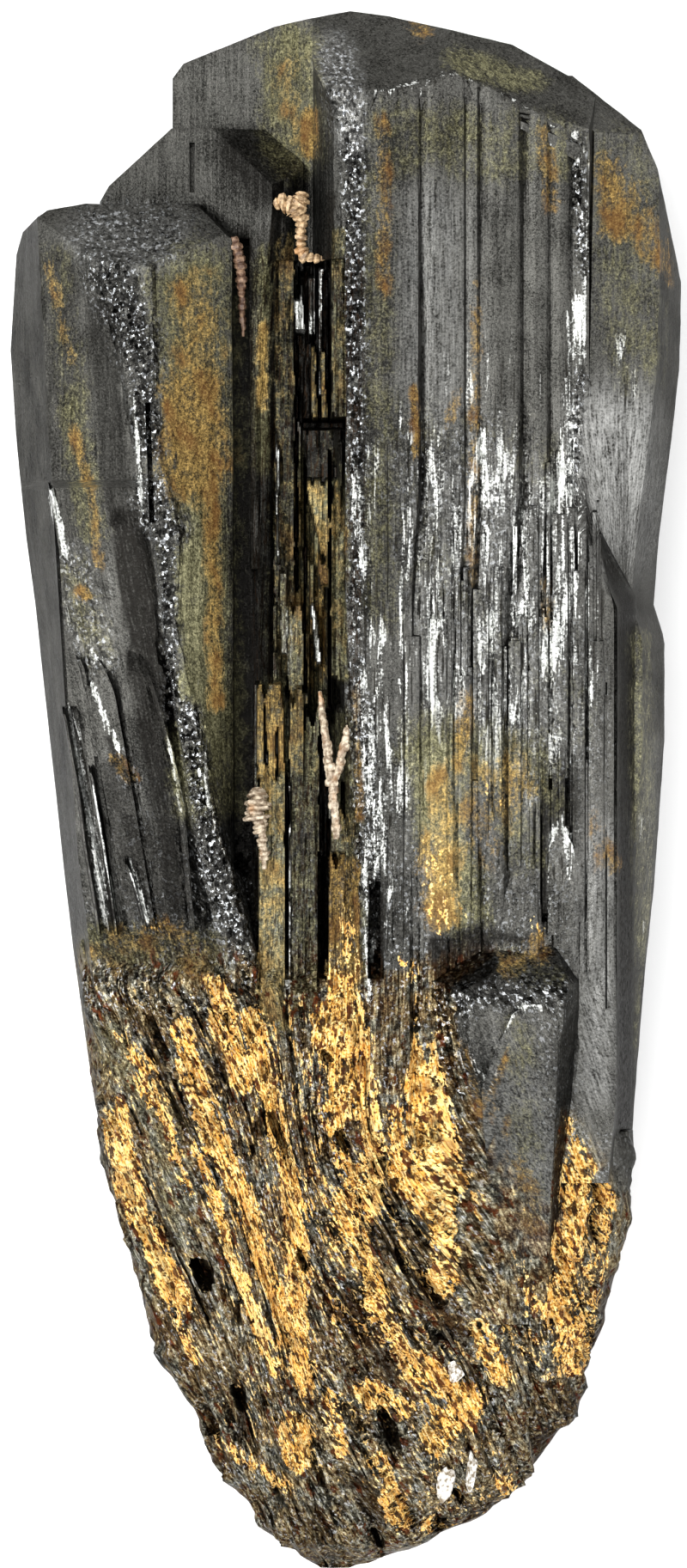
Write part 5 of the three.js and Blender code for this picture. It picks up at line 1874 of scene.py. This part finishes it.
# %% The way that striations run
# Straight up the prisms, aslant over the left crystal, in a fan where the plate widens, and
# along the fibres of the root.
ridge_x = np.interp(py, [p[1] for p in RIDGE_LEFT], [p[0] for p in RIDGE_LEFT])
slanting = (px < ridge_x + 0.1) & (py > -8) & (py < 14)
run = fibre(px, py) + 0.2 * slanting * (py + 7)
wall_x = np.interp(py, PLATE_WIDENS, [12.4, 10.4])
fanned = (px > wall_x) & (py > PLATE_WIDENS[0]) & (py < 17.5)
run = run + fanned * (px - 12.7) * (10 / np.maximum(py - 7.5, 0.9) - 1)
flow = tantalite.data.attributes.new("flow", "FLOAT_VECTOR", "POINT")
flow.data.foreach_set("vector", np.stack([run, py, pz], axis=-1).ravel())

# %% [markdown]
# ## Materials
# Tantalite reflects like a dull metal: a dark grey that shows the light and dark around it, with
# fine striations along the crystals. The small class below wraps a value socket, so that the
# covers can be combined by plain sums and products.


# %% Values
class Value:
    """A number in a material. Sums, differences and products of values make math nodes."""

    def __init__(self, tree, socket):
        self.tree = tree
        self.socket = socket

    def math(self, operation, *others, clamp=False):
        node = self.tree.nodes.new("ShaderNodeMath")
        node.operation = operation
        node.use_clamp = clamp
        for place, other in enumerate((self, *others)):
            if isinstance(other, Value):
                self.tree.links.new(other.socket, node.inputs[place])
            else:
                node.inputs[place].default_value = other
        return Value(self.tree, node.outputs[0])

    def __add__(self, other):
        return self.math("ADD", other)

    __radd__ = __add__

    def __mul__(self, other):
        return self.math("MULTIPLY", other)

    __rmul__ = __mul__

    def __sub__(self, other):
        return self.math("SUBTRACT", other)

    def __rsub__(self, other):
        return (self * -1) + other

    def clamp(self):
        return self.math("ADD", 0.0, clamp=True)

    def above(self, low, high):
        """0 below low, 1 above high, and a straight rise between."""
        return ((self - low) * (1 / (high - low))).clamp()


# %% Finishes
class Finish:
    """A material that is being made."""

    def __init__(self, name, flows=False):
        self.flows = flows
        self.material = bpy.data.materials.new(name)
        self.material.use_nodes = True
        self.tree = self.material.node_tree
        self.shader = self.tree.nodes["Principled BSDF"]

    def node(self, kind, settings=None, **inputs):
        """A node with these settings and inputs. Names use _ for a space."""
        made = self.tree.nodes.new("ShaderNode" + kind)
        for key, value in (settings or {}).items():
            setattr(made, key, value)
        for key, value in inputs.items():
            self.feed(made.inputs[key.replace("_", " ")], value)
        return made

    def feed(self, socket, value):
        """Links or sets one input."""
        if isinstance(value, Value):
            self.tree.links.new(value.socket, socket)
        elif isinstance(value, bpy.types.NodeSocket):
            self.tree.links.new(value, socket)
        else:
            socket.default_value = value

    def give(self, **inputs):
        """Links or sets inputs of the surface. Names use _ for a space."""
        for key, value in inputs.items():
            self.feed(self.shader.inputs[key.replace("_", " ")], value)

    def place(self, stretch=(1, 1, 1)):
        """The place on the object in mm, along its fibres if it has them, stretched."""
        if self.flows:
            own, unit = self.node("Attribute", {"attribute_name": "flow"}).outputs["Vector"], 1
        else:
            own, unit = self.node("TexCoord").outputs["Object"], 1000
        return self.vector("MULTIPLY", own, [unit * s for s in stretch])

    def vector(self, operation, *values):
        """A sum or product of vectors."""
        made = self.node("VectorMath", {"operation": operation})
        for socket, value in zip(made.inputs, values):
            self.feed(socket, value)
        return made.outputs[0]

    def noise(self, scale, stretch=(1, 1, 1), detail=3.0):
        """Noise from 0 to 1, with features of about 1 / scale mm."""
        made = self.node("TexNoise", Vector=self.place(stretch), Scale=scale, Detail=detail)
        return Value(self.tree, made.outputs["Fac"])

    def cells(self, scale, stretch=(1, 1, 1)):
        """A cell texture: the distance value and the random colour."""
        made = self.node("TexVoronoi", Vector=self.place(stretch), Scale=scale)
        return Value(self.tree, made.outputs["Distance"]), made.outputs["Color"]

    def blend(self, factor, low, high):
        """The colour low where factor is 0 and high where it is 1."""
        made = self.tree.nodes.new("ShaderNodeMix")
        made.data_type = "RGBA"
        for place, value in ((0, factor), (6, low), (7, high)):
            self.feed(made.inputs[place], (*value, 1) if isinstance(value, tuple) else value)
        return made.outputs[2]

    def ramp(self, value, *colours):
        """The colours at equal steps as the value goes from 0 to 1."""
        made = self.node("ValToRGB", Fac=value)
        held = made.color_ramp.elements
        for number, colour in enumerate(colours[1:-1], 1):
            held.new(number / (len(colours) - 1)).color = (*colour, 1)
        held[0].color, held[-1].color = (*colours[0], 1), (*colours[-1], 1)
        return made.outputs["Color"]

    def covers(self, name):
        """The three numbers of an attribute."""
        held = self.node("Attribute", {"attribute_name": name})
        return self.parts(held.outputs["Color"])

    def parts(self, colour):
        """The three numbers of a colour."""
        parts = self.node("SeparateColor", Color=colour)
        return [Value(self.tree, socket) for socket in parts.outputs]


# %% Tantalite: the covers and the textures that break them up
finish = Finish("tantalite", flows=True)
blend = finish.blend
crust, ochre, olive = finish.covers("covers")
painted_highlight, glitter, pore = finish.covers("surface")
dark, painted_right_shade, pale = finish.covers("shade")
sheen, rooted, fibrous = finish.covers("sheen_and_root")
light, dull, flank = finish.covers("tone")
# The lift from the tone strokes is partly painted highlight and painted shade.
lift = light * 0.45 - dull * 0.35
broad = finish.noise(0.5, detail=1) - 0.5
streak = finish.noise(1.0, (4.5, 0.35, 4.5), 2) - 0.5
fine_streak = finish.noise(1.0, (10, 0.6, 10), 2) - 0.5
grain = finish.noise(9.0, detail=2) - 0.5
dust = finish.noise(20.0, detail=0) - 0.5
patch = finish.noise(0.9, (1, 0.7, 1), 3) - 0.5
speck = finish.noise(3.4, (1.4, 0.8, 1.4), 3) - 0.5
grit = finish.noise(5.0, (1.3, 0.8, 1), 2) - 0.5
blot = finish.noise(1.9, (1.3, 0.7, 1), 2) - 0.5
gap = finish.noise(1.0, (6.5, 0.4, 6.5), 1) - 0.5
chip = finish.parts(finish.cells(1.0, (5.2, 0.5, 1.5))[1])[0] - 0.5
spark_colour = finish.cells(5.5)[1]
spark = finish.parts(spark_colour)[0]
small_spark = finish.parts(finish.cells(10.0)[1])[0]

# %% Tantalite: holes and pits painted with shade, and cracks
hole = finish.cells(1.0, (2.7, 1.15, 1))[0]
small_hole = finish.cells(1.0, (6.5, 3.4, 1))[0]
pit, pit_colour = finish.cells(1.0, (1.7, 0.8, 1))
pits = 1 - (pit + speck * 1.3 + grain * 0.5).above(0.2, 0.3)
pits = pits * finish.parts(pit_colour)[0].above(0.35, 0.4) * rooted
plank = finish.parts(finish.cells(1.0, (2.3, 0.38, 1.5))[1])[0] - 0.5
crack = (1 - gap.math("ABSOLUTE").above(0.012, 0.06)) * fibrous

# %% Tantalite: broken borders of crust, films and worn places
crusted = crust + speck * 1.2 + streak * (0.2 + rooted * 1.2)
crusted = crusted + fine_streak * (0.1 + rooted * 0.4)
crusted = (crusted + grain * 0.5 + blot * 0.5).above(0.48, 0.56)
crusted = crusted * (crust * 8).clamp()
bare = 1 - crusted
ochred = (ochre * 1.1 + patch * 1.6 + speck * 1.1 + grain * 0.7).above(0.32, 0.95) * bare
ochred = ochred * (ochre * 3).clamp()
olived = (olive * 1.1 + patch * 1.2 + speck * 1.0 + grain * 0.7).above(0.2, 0.95) * bare
olived = olived * (olive * 3).clamp()
# Painted highlight: pale silvery streaks stand in for light caught on lamella steps; gloomy puts
# painted shade in the slots beside them.
bright = painted_highlight * 0.8 + chip * 0.5 + plank * 0.62
bright = bright + fine_streak * 0.9 + speck * 0.7 + grain * 0.9
bright = bright.above(0.48, 0.78) * (painted_highlight * 4).clamp() * bare
gloomy = (painted_highlight * 2).clamp() * (1 - gap.above(-0.2, -0.09)) * (1 - (painted_highlight - 1) * 2)
# Painted glints and painted dark cells for the glittering bands.
glint = (spark * 0.5 + small_spark * 0.5 + grit * 1.7).above(0.76, 0.92)
gloom = 1 - (spark + grit * 2).above(0.12, 0.66)

# %% [markdown]
# ### The stone
# Fresh faces are dark grey metal. The broken root is browner and more mottled, so it gets two
# ramps of its own, which are mixed in patches.

# %% Tantalite: the stone
tone = 0.42 + lift + grain * 1.4 + dust * 1.0 + streak * 0.8 + fine_streak * 0.5 + broad * 0.8
stone = blend(tone.clamp(), (0.012, 0.0118, 0.0105), (0.112, 0.11, 0.1))
root_tone = speck * 1.4 + streak * 2.2 + fine_streak * 1.5 + grain * 1.3 + dust * 0.6
root_tone = 0.45 + lift - flank * 0.08 + root_tone * (1 - flank * 0.55)
root_stone = finish.ramp(
    root_tone,
    (0.006, 0.0055, 0.004),
    (0.055, 0.051, 0.035),
    (0.16, 0.15, 0.108),
    (0.36, 0.345, 0.28),
)
brown_stone = finish.ramp(
    root_tone,
    (0.013, 0.005, 0.0012),
    (0.08, 0.045, 0.015),
    (0.2, 0.145, 0.07),
    (0.42, 0.35, 0.2),
)
root_stone = blend((patch + blot * 0.7).above(-0.12, 0.02), root_stone, brown_stone)
stone = blend(rooted * 0.9, stone, root_stone)

# %% Tantalite: painted sheen, glints, shade and silvery highlight
# Painted sheen: a lighter brushed grey.
sheened = sheen * (0.42 + fine_streak * 1.6 + grain * 1.2 + speck * 0.8)
stone = blend(sheened.clamp(), stone, (0.4, 0.4, 0.385))
# Painted dark cells, then painted glints, on the glittering bands.
stone = blend(glitter * gloom * (0.85 - light * 0.4), stone, (0.008, 0.008, 0.008))
stone = blend(glitter * glint, stone, (0.6, 0.62, 0.64))
# Painted shade from the shade attribute, broken by lighter scratches, then painted shade on faces
# that lean right.
scratched = (fine_streak * 1.6 + grain * 1.4 + speck * 0.8).above(0.05, 0.55)
darkness = blend(rooted, (0.008, 0.0074, 0.0065), (0.014, 0.006, 0.002))
stone = blend(dark.clamp() * (0.98 - scratched * 0.4), stone, darkness)
stone = blend(painted_right_shade * 0.3, stone, (0.028, 0.027, 0.025))
# Painted shade in the slots beside the painted highlight, then the painted highlight itself.
stone = blend(gloomy.clamp() * 0.85, stone, (0.012, 0.011, 0.009))
shine_tone = 0.5 + grain * 2.2 + fine_streak * 1.5 + chip * 0.5
shine = finish.ramp(shine_tone, (0.14, 0.14, 0.125), (0.41, 0.42, 0.4), (0.76, 0.77, 0.74))
stone = blend(bright * 0.92, stone, shine)

# %% Tantalite: olive and ochre films
stain_tone = 0.34 + lift * 0.8 + speck * 1.0 + grain * 1.3 + dust * 0.7 + streak * 0.3
olive_stain = finish.ramp(
    stain_tone,
    (0.015, 0.0135, 0.006),
    (0.075, 0.07, 0.034),
    (0.17, 0.163, 0.09),
    (0.36, 0.33, 0.19),
)
stone = blend(olived * 0.9, stone, olive_stain)
ochre_stain = finish.ramp(
    stain_tone,
    (0.025, 0.013, 0.004),
    (0.13, 0.082, 0.024),
    (0.31, 0.2, 0.06),
    (0.56, 0.38, 0.12),
)
ochre_stain = blend(patch.above(0.0, 0.16) * 0.6, ochre_stain, (0.11, 0.042, 0.01))
stone = blend(ochred * 0.9, stone, ochre_stain)

# %% [markdown]
# ### The crust
# Weathered iron minerals go from dark brown through orange to straw yellow within a fraction
# of a millimetre, and are full of holes. One ramp over several noises gives the colours, and
# two sizes of cells give the holes, painted dark as the shade inside them; the relief's pores
# and the painted shade darken them too.

# %% Tantalite: the crust
warmth = 0.66 + speck * 1.5 + fine_streak * 1.4 + grain * 1.7
warmth = warmth + patch * 0.8 + blot * 1.0 + pale * 0.28
orange = finish.ramp(
    warmth,
    (0.03, 0.013, 0.004),
    (0.17, 0.07, 0.014),
    (0.42, 0.215, 0.04),
    (0.71, 0.44, 0.13),
    (0.95, 0.74, 0.3),
)
orange = blend((patch * 0.6 + blot).above(-0.04, 0.12) * 0.6, orange, (0.72, 0.31, 0.04))
paler = (fine_streak * 1.6 + streak * 0.8 + grain).above(0.1, 0.4)
orange = blend(paler * 0.55, orange, (0.74, 0.62, 0.36))
# Dark holes in the crust: painted shade of pores.
painted_hole_shade = 1 - (hole + speck * 1.3 + blot * 0.4).above(0.25, 0.36)
painted_hole_shade = painted_hole_shade.math("MAXIMUM", 1 - (small_hole + grain * 1.2).above(0.22, 0.33))
painted_hole_shade = painted_hole_shade.math("MAXIMUM", pore * 0.8).math("MAXIMUM", dark * 0.7)
hollow = blend((patch + blot).above(-0.1, 0.1), (0.018, 0.007, 0.002), (0.085, 0.022, 0.006))
orange = blend(painted_hole_shade * 0.93, orange, hollow)
colour = blend(crack * 0.75, blend(crusted, stone, orange), (0.014, 0.007, 0.003))
# Painted shade in small pits of the root.
painted_pit_shade = blend(blot.above(-0.08, 0.04), (0.011, 0.006, 0.003), (0.06, 0.016, 0.005))
colour = blend(pits * 0.9, colour, painted_pit_shade)
finish.give(Base_Color=colour)

# %% Tantalite: how metallic and how rough
metal = 0.93 - olived * 0.3 - ochred * 0.45 - crusted * 0.93
finish.give(Metallic=metal.clamp(), Specular_Tint=(0.4, 0.4, 0.4, 1), Specular_IOR_Level=0.2)
rough = 0.4 + grain * 0.35 + streak * 0.2 - glitter * 0.15 + ochred * 0.2 + crusted * 0.45
finish.give(Roughness=rough.math("MAXIMUM", 0.16).clamp())

# %% Tantalite: tilted sparks and fine relief
tilt = finish.vector("SUBTRACT", spark_colour, (0.5, 0.5, 0.5))
amount = (glitter * 1.2 + rooted * 0.15 + 0.12) * bare
spread = finish.node("CombineXYZ", X=amount, Y=amount, Z=amount).outputs[0]
own_normal = finish.node("NewGeometry").outputs["Normal"]
tilted = finish.vector("ADD", own_normal, finish.vector("MULTIPLY", tilt, spread))
tilted = finish.vector("NORMALIZE", tilted)
height = fine_streak * 0.5 + grain * 0.6 + speck * (0.6 + crust * 2.4)
bump = finish.node("Bump", Strength=0.6, Distance=0.07 * MM, Height=height, Normal=tilted)
finish.give(Normal=bump.outputs["Normal"])
print("nodes in the tantalite finish", len(finish.tree.nodes))


# %% Dressing a piece and giving it to the frame
def dress(obj, name, material, sharp):
    """Gives a piece its name, its one material, and edges where faces meet at sharp degrees."""
    obj.name = name
    obj.data.materials.clear()
    obj.data.materials.append(material)
    for face in obj.data.polygons:
        face.material_index = 0
    obj.data.shade_smooth()
    obj.data.set_sharp_from_angle(angle=math.radians(sharp))


def settle(obj, node_names):
    """Scales a piece from mm to metres and gives it to the frame."""
    obj.data.transform(((MM, 0, 0, 0), (0, MM, 0, 0), (0, 0, MM, 0), (0, 0, 0, 1)))
    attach(obj, "root")
    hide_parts(*node_names)
    print(obj.name, "faces", len(obj.data.polygons))


dress(tantalite, "tantalite", finish.material, 30)
settle(tantalite, ["tantalite_crystals"])

# %% [markdown]
# ## Mica worms
# Pale mica grows here as worms, stacks of thin plates that curl as they grow. Each worm is a
# column of many-sided plates along a curve, every plate a little turned and shifted against the
# last, with a narrow waist between them.


# %% A worm
def worm(path, thick, seed, ragged, waist):
    """Plates stacked along a path of (x, y, z, radius) points."""
    path = np.array(path, dtype=float)
    steps_along = np.linalg.norm(np.diff(path[:, :3], axis=0), axis=1)
    place = np.concatenate([[0], np.cumsum(steps_along)])
    plates = max(4, int(place[-1] / thick))
    sides = 16
    turn = np.linspace(0, 2 * math.pi, sides, endpoint=False)
    rings = []
    for number in range(plates):
        dice = [draw(number, k, seed) for k in range(5)]
        for part, wide in ((0.06, waist), (0.24, 1.0), (0.72, 1.0), (0.92, waist)):
            at = (number + part) / plates * place[-1]
            middle = np.array([np.interp(at, place, path[:, k]) for k in range(4)])
            before = np.array([np.interp(at - 0.3, place, path[:, k]) for k in range(3)])
            after = np.array([np.interp(at + 0.3, place, path[:, k]) for k in range(3)])
            forward = (after - before) / np.linalg.norm(after - before)
            side = np.cross(forward, (0, 0, 1.0))
            side /= np.linalg.norm(side)
            up = np.cross(side, forward)
            tilt = 0.25 * (dice[0] - 0.5)
            corner = 1 + 0.07 * np.cos(6 * (turn + dice[1] * 3))
            corner = corner + 0.05 * np.cos(2 * turn + 6 * dice[2])
            radius = middle[3] * wide * corner * (1 + 2 * ragged * (dice[3] - 0.5))
            shift = ragged * middle[3] * (dice[4] - 0.5) * 1.6
            ring = middle[:3] + radius[:, None] * (
                np.cos(turn)[:, None] * (side + tilt * forward) + np.sin(turn)[:, None] * up
            )
            rings.append(ring + shift * side)
    return skin("worm", np.array(rings))


# %% Paths of the worms
MICA = {
    "mica_stack_upper": [
        [
            (-0.95, 24.5, 16.7, 0.12),
            (-1.3, 24.45, 16.9, 0.2),
            (-1.8, 24.5, 16.95, 0.3),
            (-2.08, 24.8, 16.9, 0.28),
            (-2.1, 25.5, 16.9, 0.26),
            (-2.06, 26.2, 17.1, 0.3),
            (-2.2, 26.7, 17.2, 0.42),
            (-2.6, 26.95, 17.2, 0.52),
            (-3.1, 26.95, 17.1, 0.36),
            (-3.3, 26.8, 17.1, 0.2),
        ],
        [(-2.4, 26.7, 17.1, 0.3), (-2.1, 27.1, 17.2, 0.4), (-1.95, 27.5, 17.1, 0.22)],
    ],
    "mica_vein_left": [
        [
            (-4.72, 20.9, 15.2, 0.08),
            (-4.78, 22.2, 15.5, 0.16),
            (-4.85, 23.6, 15.8, 0.24),
            (-4.95, 24.8, 16, 0.28),
            (-5.15, 25.5, 16.1, 0.2),
        ]
    ],
    "mica_stack_knotted": [
        [
            (-3.75, -3.6, 17.45, 0.12),
            (-3.8, -2.7, 17.5, 0.24),
            (-3.92, -1.9, 17.55, 0.28),
            (-4.05, -1.4, 17.6, 0.46),
            (-4.1, -0.8, 17.6, 0.56),
            (-4.1, -0.3, 17.5, 0.42),
            (-4.1, 0.1, 17.3, 0.22),
        ]
    ],
    "mica_stack_forked": [
        [
            (-0.45, -2.2, 18.6, 0.16),
            (-0.5, -1.2, 18.75, 0.22),
            (-0.62, 0.2, 18.8, 0.25),
            (-0.8, 1.4, 18.75, 0.24),
            (-1.05, 3.2, 18.3, 0.16),
            (-1.2, 4.6, 17.8, 0.1),
        ],
        [
            (-0.65, 0.2, 18.7, 0.16),
            (-0.3, 1.3, 18.85, 0.2),
            (0.05, 2.4, 18.95, 0.24),
            (0.3, 3.6, 18.9, 0.14),
        ],
    ],
}


# %% Mica
def mica_material(name, light, deep):
    """Mica of a light colour, with deep shades and a few rusty places."""
    finish = Finish(name)
    grain = finish.noise(5.0, detail=4)
    patch = finish.noise(1.2)
    colour = finish.blend((grain - 0.4) * 3.6, deep, light)
    stained = finish.blend((patch - 0.58) * 3.0, colour, (0.42, 0.2, 0.07))
    bump = finish.node("Bump", Strength=0.4, Distance=0.04 * MM, Height=grain)
    finish.give(Base_Color=stained, Roughness=0.34 + grain * 0.3, Normal=bump.outputs["Normal"])
    return finish.material


pink = mica_material("mica", (0.6, 0.51, 0.38), (0.16, 0.11, 0.068))
amber = mica_material("mica_amber", (0.66, 0.47, 0.27), (0.16, 0.095, 0.045))
red = mica_material("mica_red", (0.3, 0.19, 0.12), (0.06, 0.028, 0.016))
# For each stack: its finish, then how thick, ragged and waisted its plates are.
LOOKS = [
    (amber, 0.3, 0.2, 0.72),
    (red, 0.3, 0.2, 0.8),
    (pink, 0.2, 0.34, 0.86),
    (pink, 0.34, 0.22, 0.9),
]
for seed, (name, paths) in enumerate(MICA.items()):
    material, *shape = LOOKS[seed]
    parts = [worm(path, shape[0], 130 + 7 * seed + k, *shape[1:]) for k, path in enumerate(paths)]
    stack = worked(parts[0], parts[1:], "UNION") if parts[1:] else parts[0]
    dress(stack, name.replace("mica_", "worm_"), material, 35)
    settle(stack, [name])

# %% [markdown]
# ## Albite grains
# White feldspar is caught in the root's crust as small blocky grains with cleavage faces. Each
# grain is a ball pushed in to a few flat planes, which leaves crisp edges between them.


# %% Grains
GRAIN_FACES = 13


def grain_of(place, radii, turn, seed):
    """A blocky grain with flat faces."""
    bpy.ops.mesh.primitive_ico_sphere_add(subdivisions=4, radius=1)
    obj = bpy.context.object
    spots = np.array([v.co for v in obj.data.vertices])
    planes = [[draw(face, k, seed) - 0.5 for k in range(3)] for face in range(GRAIN_FACES)]
    planes /= np.linalg.norm(planes, axis=1)[:, None]
    reach = np.clip(spots @ planes.T, 0.05, 1)
    far = 0.55 + 0.35 * chance(np.arange(GRAIN_FACES), np.zeros(GRAIN_FACES), seed=seed + 5)
    spots = spots * np.minimum(1, (far[None, :] / reach).min(axis=1))[:, None]
    spots = spots * (1 + 0.3 * noise(spots + seed, 0.5, seed, 2))[:, None] * radii
    c, s = math.cos(turn), math.sin(turn)
    spots = spots @ np.array([[c, s, 0], [-s, c, 0], [0, 0, 1]]) + place
    obj.data.vertices.foreach_set("co", spots.ravel())
    return obj


GRAIN_RISE = 0.42  # how far a grain's middle stands above the root
# x, y, half width, half length and turn.
ALBITE = {
    "albite_grain_upper": (5.05, -26.7, 0.4, 0.52, 0.4),
    "albite_grain_lower": (4.6, -31.9, 0.44, 0.86, -0.2),
    "albite_grain_side": (5.75, -31.2, 0.28, 1.1, -0.1),
}


# %% Albite
def albite_material():
    """White, with brown dirt in places."""
    finish = Finish("albite")
    grain = finish.noise(4.0, detail=4)
    colour = finish.blend((grain - 0.4) * 5, (0.16, 0.12, 0.07), (0.84, 0.82, 0.77))
    finish.give(Base_Color=colour, Roughness=0.3 + grain * 0.3)
    return finish.material


white = albite_material()
for seed, (name, (x, y, wide, long, turn)) in enumerate(ALBITE.items()):
    middle = (x, y, float(root_height(x, y)) + GRAIN_RISE)
    grain = grain_of(middle, (wide, long, 0.6), turn, 150 + seed)
    dress(grain, name.replace("grain", "block"), white, 20)
    settle(grain, [name])

# %% Finish
bpy.context.view_layer.update()
